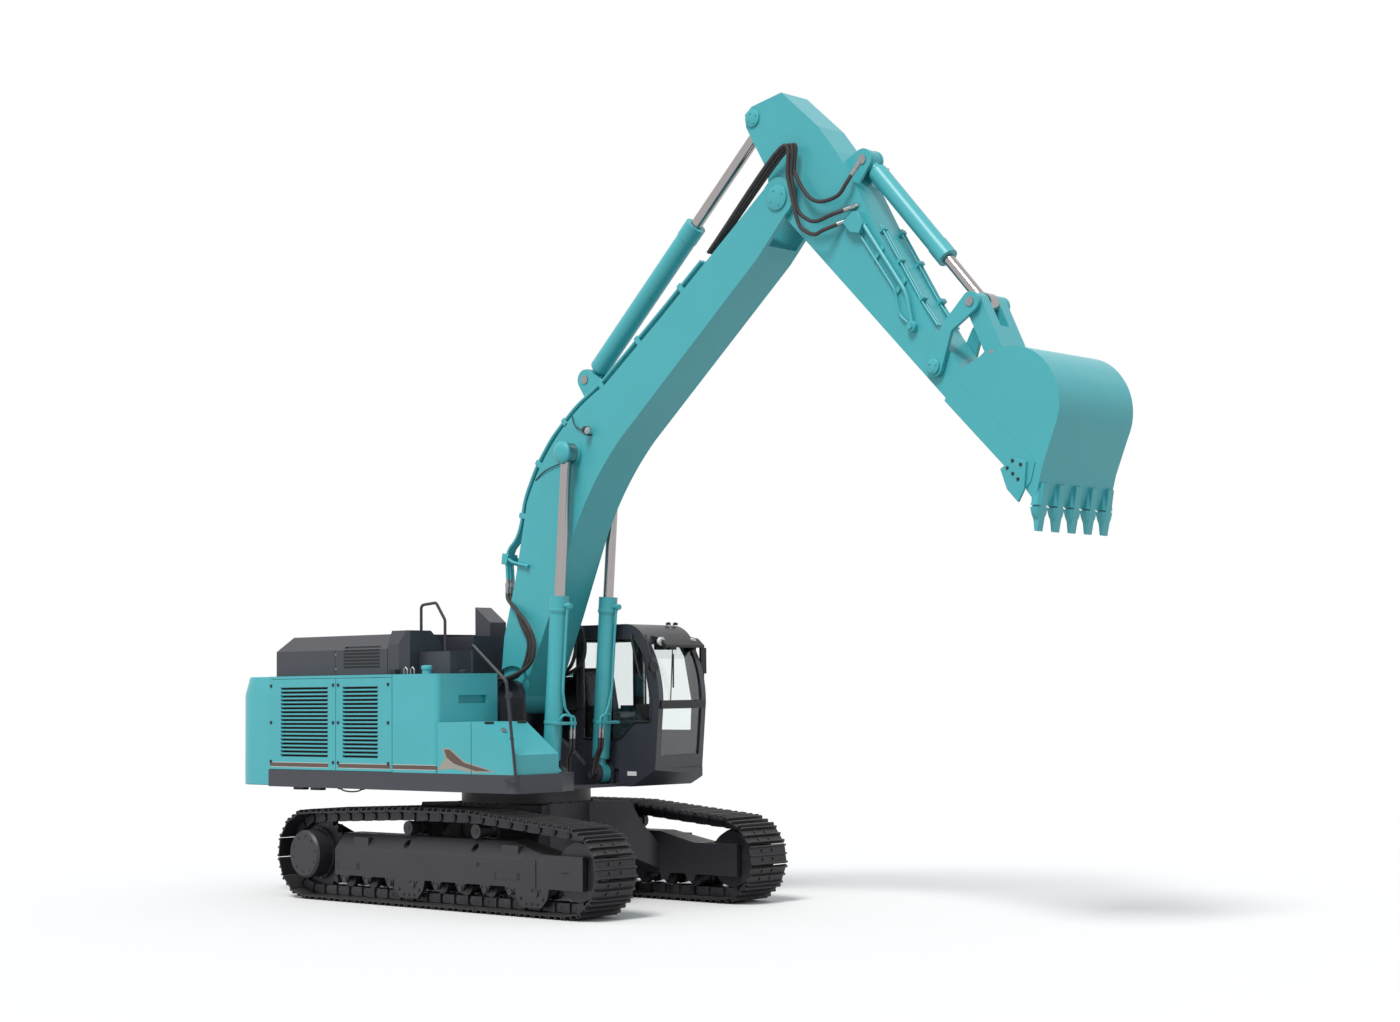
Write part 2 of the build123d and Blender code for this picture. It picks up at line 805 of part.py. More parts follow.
def air_cover():
    """Two covers on the tanks: a tall one that meets the hood, and a low one before it."""
    w = hood_half_width
    inner = w - 560
    front = hood_front + 290
    section = Polygon(
        (-w, house_top), (-w, hood_top - 120), (-w + 60, hood_top + 35), (-inner - 160, hood_top + 35),
        (-inner, hood_top - 110), (-inner, house_top),
        align=None,
    )
    plan = Polygon(
        (hood_front + panel_gap, -w), (front - 90, -w), (front, -w + 90), (front, -inner),
        (hood_front + panel_gap, -inner),
        align=None,
    )
    tall = lengthwise(section, hood_front + panel_gap, front) & upright(plan, house_top, hood_top + 50)
    low = box((front + panel_gap, tank_front - 245), (-w + 220, -w + 550), (house_top, house_top + 255))
    return [tall, low]


def centre_cover():
    """Cover behind the boom foot, with the exhaust's slanted box on top."""
    rear = hood_front + 50
    top = hood_top - 30
    base = box((rear, rear + 470), (-450, 430), (cover_seat, top))
    exhaust = Polygon(
        (rear + 105, top), (rear + 105, top + 348), (rear + 365, top + 165), (rear + 365, top), align=None
    )
    return base + slab(exhaust, -100, 150)


# Cab

def cab_profile(inset, setback):
    """Side view of the cab: upright back, bowed front. The front steps back by a setback."""
    i = inset
    s = setback
    return outline(
        (cab_rear + i, cab_bottom + i), (cab_rear + i, cab_top - 120),
        ((cab_rear + 35 + 0.7 * i, cab_top - 35 - 0.7 * i), (cab_rear + 120, cab_top - i)),
        (1130 - s, cab_top - i),
        ((1360 - s - 0.5 * i, cab_top - 85 - 0.8 * i), (cab_brow - s - i, cab_brow_height)),
        ((cab_front_belly - s - 40 - i, 2560), (cab_front_belly - s - i, cab_belly_height)),
        (cab_front_bottom - s - i, cab_bottom + i),
    )


def cab_form(inset, low, high):
    """The cab's body between two y values, its front running back towards the left."""
    sections = []
    for y in (low, high):
        setback = cab_left_setback * (y - cab_inner) / (cab_outer - cab_inner)
        sections.append(Plane.XZ * Pos(0, 0, -y) * cab_profile(inset, setback))
    return loft(sections, ruled=True)


def cab_shell():
    """Hollow cab with its window openings and the doorway on the left."""
    shell = cab_form(0, cab_inner, cab_outer)
    shell -= cab_form(cab_wall, cab_inner + cab_wall, cab_outer - cab_wall)
    shell -= slab(front_side_window(), cab_inner - 1, cab_inner + cab_wall + 1)
    shell -= slab(rear_side_window(), cab_inner - 1, cab_inner + cab_wall + 1)
    shell -= slab(rear_side_window(), cab_outer - cab_wall - 1, cab_outer + 1)
    shell -= slab(doorway(0), cab_outer - cab_wall - 1, cab_outer + 1)
    stop = doorway(-30) - doorway(25)
    shell += slab(stop, cab_outer - cab_wall - 12, cab_outer - cab_wall)
    for opening in end_windows(0):
        shell -= opening
    return shell


def end_windows(inset):
    """Blocks that cut the upper and lower windscreen and the rear window."""
    i = inset
    y = (cab_inner + cab_wall + 40 + i, cab_outer - cab_wall - 40 - i)
    reach = (cab_brow - cab_left_setback - 200, cab_front_belly + 100)
    upper = box(reach, y, (2250 + i, cab_brow_height + 20 - i))
    lower = box(reach, y, (1640 + i, 2190 - i))
    rear = box((cab_rear - 1, cab_rear + cab_wall + 1), y, (2150 + i, 2950 - i))
    return upper, lower, rear


def cab_glass():
    """The fixed panes, each set a little inside its opening."""
    depth = cab_wall / 2
    panes = [slab(offset(front_side_window(), -seat), cab_inner + depth, cab_inner + depth + glass)]
    for y in (cab_inner + depth, cab_outer - depth - glass):
        panes.append(slab(offset(rear_side_window(), -seat), y, y + glass))
    sheet = cab_form(depth - glass, cab_inner, cab_outer) - cab_form(depth, cab_inner, cab_outer)
    for opening in end_windows(seat):
        panes.append(sheet & opening)
    return panes


def front_side_window():
    return Polygon((420, 2960), (1290, 2960), (1420, 2780), (1530, 2250), (1520, 2020), (1250, 2020),
                   (1040, 1830), (420, 1830), align=None)


def rear_side_window():
    return Polygon((-60, 2960), (340, 2960), (340, 2150), (-60, 2150), align=None)


def doorway(inset):
    i = inset
    brow = cab_brow - cab_left_setback
    belly = cab_front_belly - cab_left_setback
    return Polygon(
        (door_rear + i, door_bottom + i), (door_rear + i, door_top - i), (brow - 190 - i, door_top - i),
        (brow - 60 - i, 2780), (belly - 110 - i, 2250), (belly - 160 - i, door_bottom + i),
        align=None,
    )


def cab_door():
    door = slab(doorway(6), cab_outer - cab_wall, cab_outer)
    return door - slab(door_window(), cab_outer - cab_wall - 1, cab_outer + 1)


def door_window():
    brow = cab_brow - cab_left_setback
    belly = cab_front_belly - cab_left_setback
    return Polygon(
        (door_rear + 90, door_top - 50), (brow - 250, door_top - 50), (brow - 130, 2760), (belly - 190, 2250),
        (belly - 210, 1900), (door_rear + 90, 1900),
        align=None,
    )


def door_glass():
    low = cab_outer - cab_wall / 2
    return slab(offset(door_window(), -seat), low, low + glass)


def seat_solid():
    """Seat in side view: pedestal, cushion, back and head rest in one closed form."""
    face = outline(
        (250, cab_bottom + cab_wall), (250, 1850), (120, 1900), (20, 2560), ((70, 2640), (150, 2600)),
        (260, 2080), (700, 2080), ((760, 2020), (720, 1940)), (640, cab_bottom + cab_wall),
    )
    middle = (cab_inner + cab_outer) / 2
    return slab(face, middle - seat_width / 2, middle + seat_width / 2)


def consoles():
    """Arm boxes left and right of the seat, with the levers on them."""
    pieces = []
    middle = (cab_inner + cab_outer) / 2
    for side in (-1, 1):
        low, high = sorted((middle + side * (seat_width / 2 + 15), middle + side * (seat_width / 2 + 140)))
        block = box((250, 820), (low, high), (cab_bottom + cab_wall, 2120))
        lever = Pos(740, (low + high) / 2, 2120) * Cylinder(18, 180, align=(Align.CENTER, Align.CENTER, Align.MIN))
        pieces.append(block + lever)
    return pieces


def tube(points, bend):
    """A tube of eight flats along straight runs with rounded corners."""
    path = FilletPolyline(*points, radius=bend)
    section = Plane(origin=path @ 0, z_dir=path % 0) * RegularPolygon(rail_radius, 8)
    return sweep(section, path=path)


def handrails():
    """Rail on the covers, and the long rail from the step to the tanks' top."""
    y = -hood_half_width + 300
    tall = hood_top + 35
    low = house_top + 255
    short = tube([(-670, y, tall), (-670, y, tall + 290), (-410, y, tall + 310), (-257, y, tall + 110),
                  (-257, y, low)], 50)
    long = tube([(1472, -rail_y, 1435), (1328, -rail_y, 2490), (40, -860, 2915), (40, -860, house_top)], 60)
    long += box((1300, 1495), (-rail_y - rail_radius, -house_half_width), (1415, 1445))
    return [short, long]


# Boom

def boom_outline(inset):
    """Side view of the boom along its pin line, as real booms are bent."""
    i = inset
    tip = boom_length
    return outline(
        (-40, -195 + i), (1100, 70 + i), (1850, 268 + i), ((2600, 395 + i), (3350, 360 + i)),
        (tip - 650, -150 + i), (tip + 60 - i, -212 + i), (tip + 195 - i, -60), (tip + 20 - i, 205 - i),
        (tip - 530, 335 - i), (tip - 1880, 660 - i), (3640, 940 - i),
        ((2700, 1225 - i), (1900, 1165 - i)), (1110, 785 - i), (450, 515 - i), (-80, 185 - i),
    )


def boom():
    half = boom_width / 2
    body = slab(boom_outline(0), -half, half)
    body += disc((0, 0), boom_foot_radius, -half, half)
    body += disc((boom_length, 0), 215, -half, half)
    void_end = boom_length - boom_fork_depth - 2 * boom_wall
    void = boom_outline(boom_wall) & (Pos(350 + (void_end - 350) / 2, 400) * Rectangle(void_end - 350, 3000))
    body -= slab(void, -half + boom_wall, half - boom_wall)
    slot = half - boom_cheek
    body -= box((boom_length - boom_fork_depth, boom_length + 400), (-slot, slot), (-600, 900))
    for low, high in both_sides(boom_foot_width / 2, half + 1):
        body -= disc((0, 0), boom_foot_recess, low, high)
    body -= disc((0, 0), boom_pin_radius + pin_fit, -half - 1, half + 1)
    body -= disc((boom_length, 0), arm_pin_radius + pin_fit, -half - 1, half + 1)
    eye = (boom_eye_along, boom_eye_up)
    boss_face = boom_cylinder_y - boom_eye_width / 2 - side_play
    for low, high in both_sides(half, boss_face):
        body += disc(eye, boom_eye_radius + 15, low, high)
    lug_low = arm_eye_width / 2 + side_play
    lug = bar_face((arm_base_along, arm_base_up), 115, (arm_base_along - 40, 950), 210)
    lug -= Pos(arm_base_along, arm_base_up) * Circle(arm_cylinder_pin + pin_fit)
    lug &= Pos(arm_base_along, 1500) * Rectangle(2000, 1150)
    for low, high in both_sides(lug_low, lug_low + lug_thickness):
        body += slab(lug, low, high)
    return place(body, foot_pin, boom_angle)


def place(shape, origin, angle):
    """Turn a piece drawn along its own line and set it on its pin."""
    return Pos(origin[0], 0, origin[1]) * Rot(0, -angle, 0) * shape


def boom_pins():
    half = boom_width / 2
    base = arm_eye_width / 2 + side_play + lug_thickness + 12
    pins = [disc(arm_pin, arm_pin_radius, -half - 15, half + 15)]
    pins.append(disc(arm_base, arm_cylinder_pin, -base, base))
    return pins


# Cylinders, drawn along +X from the base pin

def barrel(radius, bore, rod, length, eye_radius, eye_width, pin):
    """Tube with a closed base, gland collar and base eye."""
    start = barrel_start
    wall = barrel_end_wall
    gland = gland_length
    profile = Polygon(
        (eye_radius * 0.7, 0), (eye_radius * 0.7, neck_radius), (start, neck_radius), (start, radius * 0.9),
        (start + 20, radius), (length - 190, radius), (length - 190, radius + collar), (length, radius + collar),
        (length, rod + pin_fit), (length - gland, rod + pin_fit),
        (length - gland, bore), (start + wall, bore), (start + wall, 0),
        align=None,
    )
    body = revolve(profile, Axis.X)
    body += disc((0, 0), eye_radius, -eye_width / 2, eye_width / 2)
    body -= disc((0, 0), pin + pin_fit, -eye_width, eye_width)
    return body




def boom_barrels():
    tube = barrel(boom_barrel_radius, boom_bore_radius, boom_rod_radius, boom_barrel_length,
                  boom_eye_radius, boom_eye_width, boom_cylinder_pin)
    tube = place(tube, boom_base, heading(boom_base, boom_eye))
    return [Pos(0, y, 0) * tube for y in (-boom_cylinder_y, boom_cylinder_y)]


def cylinder_rod(length, closed, bore, rod, eye_radius, eye_width):
    """Rod for a cylinder that stands at a length and closes to another."""
    start = barrel_start + barrel_end_wall + 8 + length - closed
    end = start + piston_length
    profile = Polygon(
        (start, 0), (start, bore - piston_gap), (end, bore - piston_gap), (end, rod), (length - eye_radius * 0.7, rod),
        (length - eye_radius * 0.7, 0),
        align=None,
    )
    body = revolve(profile, Axis.X)
    return body + disc((length, 0), eye_radius, -eye_width / 2, eye_width / 2)


def boom_rods():
    length = distance(boom_base, boom_eye)
    rod = cylinder_rod(length, boom_closed, boom_bore_radius, boom_rod_radius, boom_eye_radius,
                       boom_eye_width)
    rod = place(rod, boom_base, heading(boom_base, boom_eye))
    return [Pos(0, y, 0) * rod for y in (-boom_cylinder_y, boom_cylinder_y)]


def arm_barrel():
    tube = barrel(arm_barrel_radius, arm_bore_radius, arm_rod_radius, arm_barrel_length,
                  arm_eye_radius, arm_eye_width, arm_cylinder_pin)
    return place(tube, arm_base, heading(arm_base, arm_eye))


def arm_rod():
    rod = cylinder_rod(distance(arm_base, arm_eye), arm_closed, arm_bore_radius, arm_rod_radius,
                       arm_eye_radius, arm_eye_width)
    return place(rod, arm_base, heading(arm_base, arm_eye))


def bucket_barrel():
    tube = barrel(bucket_barrel_radius, bucket_bore_radius, bucket_rod_radius, bucket_barrel_length,
                  bucket_eye_radius, bucket_eye_width, bucket_cylinder_pin)
    return place(tube, bucket_base, heading(bucket_base, link_pin))


def bucket_rod():
    rod = cylinder_rod(distance(bucket_base, link_pin), bucket_closed, bucket_bore_radius, bucket_rod_radius,
                       bucket_eye_radius, bucket_eye_width)
    return place(rod, bucket_base, heading(bucket_base, link_pin))


# Arm

def arm_outline(inset):
    i = inset
    return outline(
        (-920 + i, 260 + i), (-350, 100 + i), (-60, -165 + i), (220, -110 + i), (arm_length - 120, -165 + i),
        (arm_length - 20, -148 + i), (arm_length - 20, 148 - i), (arm_length - 640, 235 - i),
        (1240, 535 - i), (700, 700 - i), (281, 794 - i), (-110, 845 - i), (-770 + i, 815 - i),
        (-1010 + i, 470 - i), (-1030 + i, 350),
    )


def arm():
    half = arm_width / 2
    body = slab(arm_outline(0), -half, half)
    body += disc((0, 0), arm_boss_radius, -half, half)
    body += disc((arm_length, 0), arm_tip_radius, -half, half)
    eye_slot = arm_eye_width / 2 + side_play
    eye = (arm_eye_along, arm_eye_up)
    void = arm_outline(boom_wall) & (Pos(arm_length / 2 - 480, 0) * Rectangle(arm_length + 240, 3000))
    void -= Circle(arm_boss_radius + 20)
    void -= Pos(*eye) * Circle(arm_eye_radius + 130)
    void -= Polygon((-600, -200), (-600, 130), (-330, 260), (0, 0), (0, -200), align=None)
    body -= slab(void, -half + boom_wall, half - boom_wall)
    body -= disc(eye, arm_eye_radius + 90, -eye_slot, eye_slot)
    rod_way = Polygon(
        (eye[0] + 200, eye[1]), (eye[0] + 50, eye[1] + 310), (eye[0] + 30, eye[1] + 520), (eye[0] - 400, eye[1] + 520),
        (eye[0] - 600, eye[1] - 100), (eye[0] - 300, eye[1] - 700), (eye[0] + 250, eye[1] - 420),
        align=None,
    )
    body -= slab(rod_way, -eye_slot, eye_slot)
    body -= disc(eye, arm_cylinder_pin + pin_fit, -half - 1, half + 1)
    body -= disc((0, 0), arm_pin_radius + pin_fit, -half - 1, half + 1)
    body -= disc((arm_length, 0), link_pin_radius + 10 + pin_fit, -half - 1, half + 1)
    body -= disc((rocker_pin_along, rocker_pin_up), link_pin_radius + pin_fit, -half - 1, half + 1)
    lug_low = bucket_eye_width / 2 + side_play
    base = (bucket_base_along, bucket_base_up)
    lug = bar_face(base, 115, (bucket_base_along - 40, 560), 185)
    lug -= Pos(*base) * Circle(bucket_cylinder_pin + pin_fit)
    lug -= Pos(bucket_base_along, 0) * Rectangle(2000, 1300)
    for low, high in both_sides(lug_low, lug_low + lug_thickness):
        body += slab(lug, low, high)
    return place(body, arm_pin, arm_angle)


def arm_pins():
    """Pin caps at the rod's clevis, and whole pins at the bucket cylinder and the rocker."""
    half = arm_width / 2
    pins = []
    for low, high in both_sides(arm_eye_width / 2 + side_play, half + 12):
        pins.append(disc(arm_eye, arm_cylinder_pin, low, high))
    base = bucket_eye_width / 2 + side_play + lug_thickness + 12
    pins.append(disc(bucket_base, bucket_cylinder_pin, -base, base))
    reach = half + 10 + rocker_thickness + 12
    pins.append(disc(rocker_pin, link_pin_radius, -reach, reach))
    return pins


# Rocker, link and bucket

def rockers():
    """Two bent side links from the arm to the rod's pin."""
    low = arm_width / 2 + 10
    elbow = point_from(rocker_pin, arm_angle + rocker_angle + rocker_bend, rocker_length * 0.55, 0)
    face = bar_face(rocker_pin, rocker_boss_radius, elbow, rocker_waist)
    face += bar_face(elbow, rocker_waist, link_pin, rocker_boss_radius)
    face -= Pos(*rocker_pin) * Circle(link_pin_radius + pin_fit)
    face -= Pos(*link_pin) * Circle(link_pin_radius + pin_fit)
    return [slab(face, a, b) for a, b in both_sides(low, low + rocker_thickness)]


def rocker_pins():
    """The outer ends of the rod pin, one in each rocker. The rod's eye carries its own stub."""
    low = arm_width / 2 + 10
    return [disc(link_pin, link_pin_radius, a, b) for a, b in both_sides(low, low + rocker_thickness + 12)]


def bucket_link():
    """H-shaped link: two ears at the rod's pin, a web and a wide boss at the bucket."""
    ear_low = bucket_eye_width / 2 + side_play
    half = arm_width / 2 + 2
    angle = arm_angle + bucket_link_angle
    side_face = bar_face((0, 0), bucket_link_radius, (bucket_link_length, 0), bucket_link_radius)
    body = slab(side_face, -half, half)
    body -= box((-200, 0.52 * bucket_link_length), (-ear_low, ear_low), (-300, 300))
    body -= disc((bucket_link_length, 0), link_pin_radius + pin_fit, -half - 1, half + 1)
    return place(body, link_pin, angle)


def bucket_profile():
    """Outside of the bucket in side view: x towards the tooth tips, from the bucket pin."""
    return outline(
        (150, 0), (49, 197), (51, 301), (69, 472), (170, 733), ((350, 985), (690, 1092)),
        ((1010, 990), (1180, 790)), (1380, 460), lip_outside, lip_inside, (1433, 200), (1385, 215),
        (1079, 146),
    )


def bucket_cavity():
    return outline(
        (2200, -600), (100, -600), (82, 197), (84, 301), (100, 462), (197, 716), ((370, 955), (690, 1062)),
        ((985, 968), (1152, 775)), (1352, 446), lip_inside,
    )


def bucket():
    half = bucket_width / 2
    inner = half - bucket_plate
    body = slab(bucket_profile(), -half, half) - slab(bucket_cavity(), -inner, inner)
    body -= box((-200, 130), (-inner, inner), (-100, 190))
    angle = arm_angle + bucket_angle
    gap = bucket_ear_gap / 2
    pin = (0, 0)
    link_point = local_point(ear_pin, bucket_pin, angle)
    rear = bar_face(pin, bucket_ear_radius, (link_point[0] + 20, link_point[1]), 100)
    web = Polygon(pin, link_point, (130, link_point[1] + 130), (95, 190), align=None)
    ear = rear + web
    ear -= bucket_cavity()
    ear -= Pos(*pin) * Circle(link_pin_radius + 10 + pin_fit)
    ear -= Pos(*link_point) * Circle(link_pin_radius + pin_fit)
    for low, high in both_sides(gap, gap + bucket_ear):
        body += slab(ear, low, high)
    return place(body, bucket_pin, angle)


def local_point(point, origin, angle):
    """A world point in the frame of a piece that is turned about its pin."""
    turn = math.radians(angle)
    dx = point[0] - origin[0]
    dz = point[1] - origin[1]
    return (dx * math.cos(turn) + dz * math.sin(turn), -dx * math.sin(turn) + dz * math.cos(turn))


def bucket_teeth():
    """Adapters over the lip, each with its tooth."""
    face = Polygon(
        (1467, 349), (1495, 369), (1639, 216), (1792, 42), (1770, 22), (1518, 179), (1443, 285), (1463, 300),
        lip_inside, lip_outside,
        align=None,
    )
    teeth = []
    inner = bucket_width / 2 - bucket_plate - tooth_width / 2 - 3
    for n in range(tooth_count):
        y = -inner + 2 * inner * n / (tooth_count - 1)
        tooth = slab(face, y - tooth_width / 2, y + tooth_width / 2)
        teeth.append(place(tooth, bucket_pin, arm_angle + bucket_angle))
    return teeth


def bucket_pins():
    gap = bucket_ear_gap / 2 + bucket_ear + 12
    return [disc(bucket_pin, link_pin_radius + 10, -gap, gap), disc(ear_pin, link_pin_radius, -gap, gap)]


def write(name, shape):
    """One STEP file per sub-part, from one solid or a list of solids."""
    if isinstance(shape, list):
        shape = Compound(children=[solid for piece in shape for solid in piece.solids()])
    export_step(shape, f"parts/{name}.step")


half_gauge = track_gauge / 2
os.makedirs("parts", exist_ok=True)
write("car_body", car_body())
write("slew_ring_lower", bearing_ring(car_body_top, ring_split_height))
write("track_frame_left", track_frame(1))
write("track_frame_right", track_frame(-1))
write("track_left", track(half_gauge))
write("track_right", track(-half_gauge))
write("sprockets", [sprocket(half_gauge), sprocket(-half_gauge)])
write("final_drives", [final_drive(1), final_drive(-1)])
write("idlers", [idler(half_gauge), idler(-half_gauge)])
write("lower_rollers", lower_rollers(half_gauge) + lower_rollers(-half_gauge))
write("carrier_rollers", carrier_rollers(1) + carrier_rollers(-1))
write("slew_ring_upper", bearing_ring(ring_split_height + ring_clearance, deck_bottom))
write("revolving_frame", revolving_frame())
write("frame_pins", frame_pins())
write("counterweight", counterweight())
write("engine_block", engine_block())
write("engine_hood", engine_hood())
door_rear_start = house_rear + panel_gap
write("door_right_rear", side_door(-1, door_rear_start, door_seam - panel_gap / 2, -2638, -1757))
write("door_right_front", side_door(-1, door_seam + panel_gap / 2, tank_seam - panel_gap / 2, -1478, -853))
write("door_left_rear", side_door(1, door_rear_start, door_seam - panel_gap / 2, -2638, -1757))
write("door_left_front", side_door(1, door_seam + panel_gap / 2, cab_rear - 120, -1478, -650))
write("house_frame", house_frame())
write("tanks", tanks())
write("toolbox", toolbox())
write("toolbox_lid", toolbox_lid())
write("additive_tank", additive_tank())
write("air_cover", air_cover())
write("centre_cover", centre_cover())
write("cab_shell", cab_shell())
write("cab_glass", cab_glass())
write("cab_door", cab_door())
write("door_glass", door_glass())
write("operator_seat", seat_solid())
write("consoles", consoles())
write("handrails", handrails())
write("boom", boom())
write("boom_pins", boom_pins())
write("boom_cylinder_barrels", boom_barrels())
write("boom_cylinder_rods", boom_rods())
write("arm_cylinder_barrel", arm_barrel())
write("arm_cylinder_rod", arm_rod())
write("arm", arm())
write("arm_pins", arm_pins())
write("bucket_cylinder_barrel", bucket_barrel())
write("bucket_cylinder_rod", bucket_rod())
write("rockers", rockers())
write("rocker_pins", rocker_pins())
write("bucket_link", bucket_link())
write("bucket", bucket())
write("bucket_teeth", bucket_teeth())
write("bucket_pins", bucket_pins())
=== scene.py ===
import json
import math

import bmesh
import bpy
from mathutils import Matrix, Vector


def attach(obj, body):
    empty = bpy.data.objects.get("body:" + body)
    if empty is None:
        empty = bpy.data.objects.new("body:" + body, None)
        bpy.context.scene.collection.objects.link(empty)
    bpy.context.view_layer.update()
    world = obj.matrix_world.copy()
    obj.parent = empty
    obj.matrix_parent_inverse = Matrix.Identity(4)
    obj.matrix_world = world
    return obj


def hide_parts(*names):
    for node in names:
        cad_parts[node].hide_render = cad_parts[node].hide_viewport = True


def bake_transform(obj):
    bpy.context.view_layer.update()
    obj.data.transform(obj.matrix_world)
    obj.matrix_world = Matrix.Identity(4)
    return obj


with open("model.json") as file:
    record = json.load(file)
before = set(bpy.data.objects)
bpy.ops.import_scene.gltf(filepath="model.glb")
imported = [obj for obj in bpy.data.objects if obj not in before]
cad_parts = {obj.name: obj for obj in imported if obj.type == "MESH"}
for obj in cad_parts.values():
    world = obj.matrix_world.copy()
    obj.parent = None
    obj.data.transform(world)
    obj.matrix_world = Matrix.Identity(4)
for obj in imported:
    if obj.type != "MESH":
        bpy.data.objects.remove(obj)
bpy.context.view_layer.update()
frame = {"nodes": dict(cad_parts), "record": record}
nodes = frame["nodes"]
scene = bpy.context.scene

# Places taken from the solids, in metres
FOOT_PIN = (0.055, 2.320)
BOOM_ANGLE = 51.4
BOOM_LENGTH = 6.593
ARM_ANGLE = -44.6
ARM_LENGTH = 3.210
BUCKET_ANGLE = -53.7
HOUSE_SIDE = 1.490
HOUSE_TOP = 2.585
TRACK_CENTRE = 1.195
SIDES = (("left", 1), ("right", -1))


def turned(origin, angle, along, up):
    """World (x, z) of a place given along and above a line that starts at origin."""
    turn = math.radians(angle)
    x = origin[0] + along * math.cos(turn) - up * math.sin(turn)
    z = origin[1] + along * math.sin(turn) + up * math.cos(turn)
    return (x, z)


ARM_PIN = turned(FOOT_PIN, BOOM_ANGLE, BOOM_LENGTH, 0)
BUCKET_PIN = turned(ARM_PIN, ARM_ANGLE, ARM_LENGTH, 0)


def places_on(origin, angle):
    """Gives the places of a part from along, up and y, where along runs at an angle from its pin."""
    def place(along, up, y):
        x, z = turned(origin, angle, along, up)
        return Vector((x, y, z))
    return place


on_boom = places_on(FOOT_PIN, BOOM_ANGLE)
on_arm = places_on(ARM_PIN, ARM_ANGLE)
on_bucket = places_on(BUCKET_PIN, BUCKET_ANGLE)


def upright(x, z, y):
    return Vector((x, y, z))


def span(side, inner, outer):
    """The y range between two distances from the middle, on one side."""
    return sorted((side * inner, side * outer))


def run(place, y, pairs):
    """A path or an outline through a part's own places, all at one y."""
    return [place(a, b, y) for a, b in pairs]


# Materials

# The greyish brown that what faces up is tinted toward
TOP_TINT_COLOR = (0.36, 0.33, 0.28, 1)


def add_node(tree, kind, **inputs):
    """A shader node with some of its inputs set, underscores standing for spaces."""
    made = tree.nodes.new("ShaderNode" + kind)
    for name, value in inputs.items():
        made.inputs[name.replace("_", " ")].default_value = value
    return made


def surface(name, color, roughness, metallic=0.0, variation=0.1, grain=3.0, bump=0.0, bump_scale=200.0,
            top_tint=0.0):
    """A painted or bare surface with a slow drift in tone, fine grain, and a greyish brown tint on what faces
    up.
    """
    material = bpy.data.materials.new(name)
    material.use_nodes = True
    tree = material.node_tree
    shader = tree.nodes["Principled BSDF"]
    shader.inputs["Roughness"].default_value = roughness
    shader.inputs["Metallic"].default_value = metallic
    shader.inputs["Base Color"].default_value = (*color, 1)
    if variation == 0:
        return material
    place = add_node(tree, "TexCoord")
    noise = add_node(tree, "TexNoise", Scale=grain, Detail=6, Roughness=0.65)
    tree.links.new(place.outputs["Object"], noise.inputs["Vector"])
    tone = add_node(tree, "ValToRGB")
    tone.color_ramp.elements[0].position = 0.3
    tone.color_ramp.elements[1].position = 0.7
    low = tuple(c * (1 - variation) for c in color)
    high = tuple(min(1, c * (1 + variation)) for c in color)
    tone.color_ramp.elements[0].color = (*low, 1)
    tone.color_ramp.elements[1].color = (*high, 1)
    tree.links.new(noise.outputs["Fac"], tone.inputs["Fac"])
    result = tone.outputs["Color"]
    # Tints what faces up toward a greyish brown, decided by its facing alone
    if top_tint > 0:
        geometry = add_node(tree, "NewGeometry")
        split = add_node(tree, "SeparateXYZ")
        tree.links.new(geometry.outputs["Normal"], split.inputs["Vector"])
        facing = add_node(tree, "MapRange", From_Min=0.3, From_Max=1.0, To_Max=top_tint)
        tree.links.new(split.outputs["Z"], facing.inputs["Value"])
        mix = add_node(tree, "Mix")
        mix.data_type = "RGBA"
        mix.inputs["B"].default_value = TOP_TINT_COLOR
        tree.links.new(facing.outputs["Result"], mix.inputs["Factor"])
        tree.links.new(result, mix.inputs["A"])
        result = mix.outputs["Result"]
    tree.links.new(result, shader.inputs["Base Color"])
    if bump > 0:
        fine = add_node(tree, "TexNoise", Scale=bump_scale)
        tree.links.new(place.outputs["Object"], fine.inputs["Vector"])
        relief = add_node(tree, "Bump", Strength=bump, Distance=0.002)
        tree.links.new(fine.outputs["Fac"], relief.inputs["Height"])
        tree.links.new(relief.outputs["Normal"], shader.inputs["Normal"])
    return material


teal = surface("teal_paint", (0.066, 0.43, 0.48), 0.36, variation=0.04, grain=0.9, top_tint=0.05)
charcoal = surface("charcoal_paint", (0.037, 0.039, 0.052), 0.42, variation=0.07, grain=1.2, top_tint=0.08)
under_paint = surface("undercarriage_paint", (0.021, 0.021, 0.027), 0.45,
                      variation=0.12, grain=4, bump=0.15, top_tint=0.06)
track_steel = surface("track_steel", (0.017, 0.017, 0.021), 0.42, 0.2,
                      variation=0.25, grain=7, bump=0.25, top_tint=0.08)
wear_steel = surface("wear_steel", (0.04, 0.04, 0.046), 0.42, 0.4,
                     variation=0.25, grain=9, bump=0.25, top_tint=0.06)
pin_steel = surface("pin_steel", (0.32, 0.32, 0.33), 0.35, 0.8, variation=0.1, grain=12)
rod_chrome = surface("rod_chrome", (0.38, 0.35, 0.35), 0.14, 1.0, variation=0)
black_plastic = surface("black_plastic", (0.009, 0.009, 0.011), 0.6,
                        variation=0.15, grain=8, bump=0.1, top_tint=0.05)
rubber = surface("hose_rubber", (0.032, 0.026, 0.028), 0.6, variation=0.15, grain=15, bump=0.2)
brown = surface("brown_stripe", (0.105, 0.062, 0.05), 0.4, variation=0.05, grain=2)
cream = surface("cream_line", (0.62, 0.6, 0.55), 0.4, variation=0.04, grain=2)
lamp_lens = surface("lamp_lens", (0.75, 0.77, 0.78), 0.12, variation=0)
mirror_face = surface("mirror_face", (0.85, 0.87, 0.9), 0.03, 1.0, variation=0)
beige = surface("beige_line", (0.34, 0.32, 0.28), 0.4, variation=0.04, grain=2)
shadow = surface("grille_shadow", (0.012, 0.012, 0.014), 0.8, variation=0)
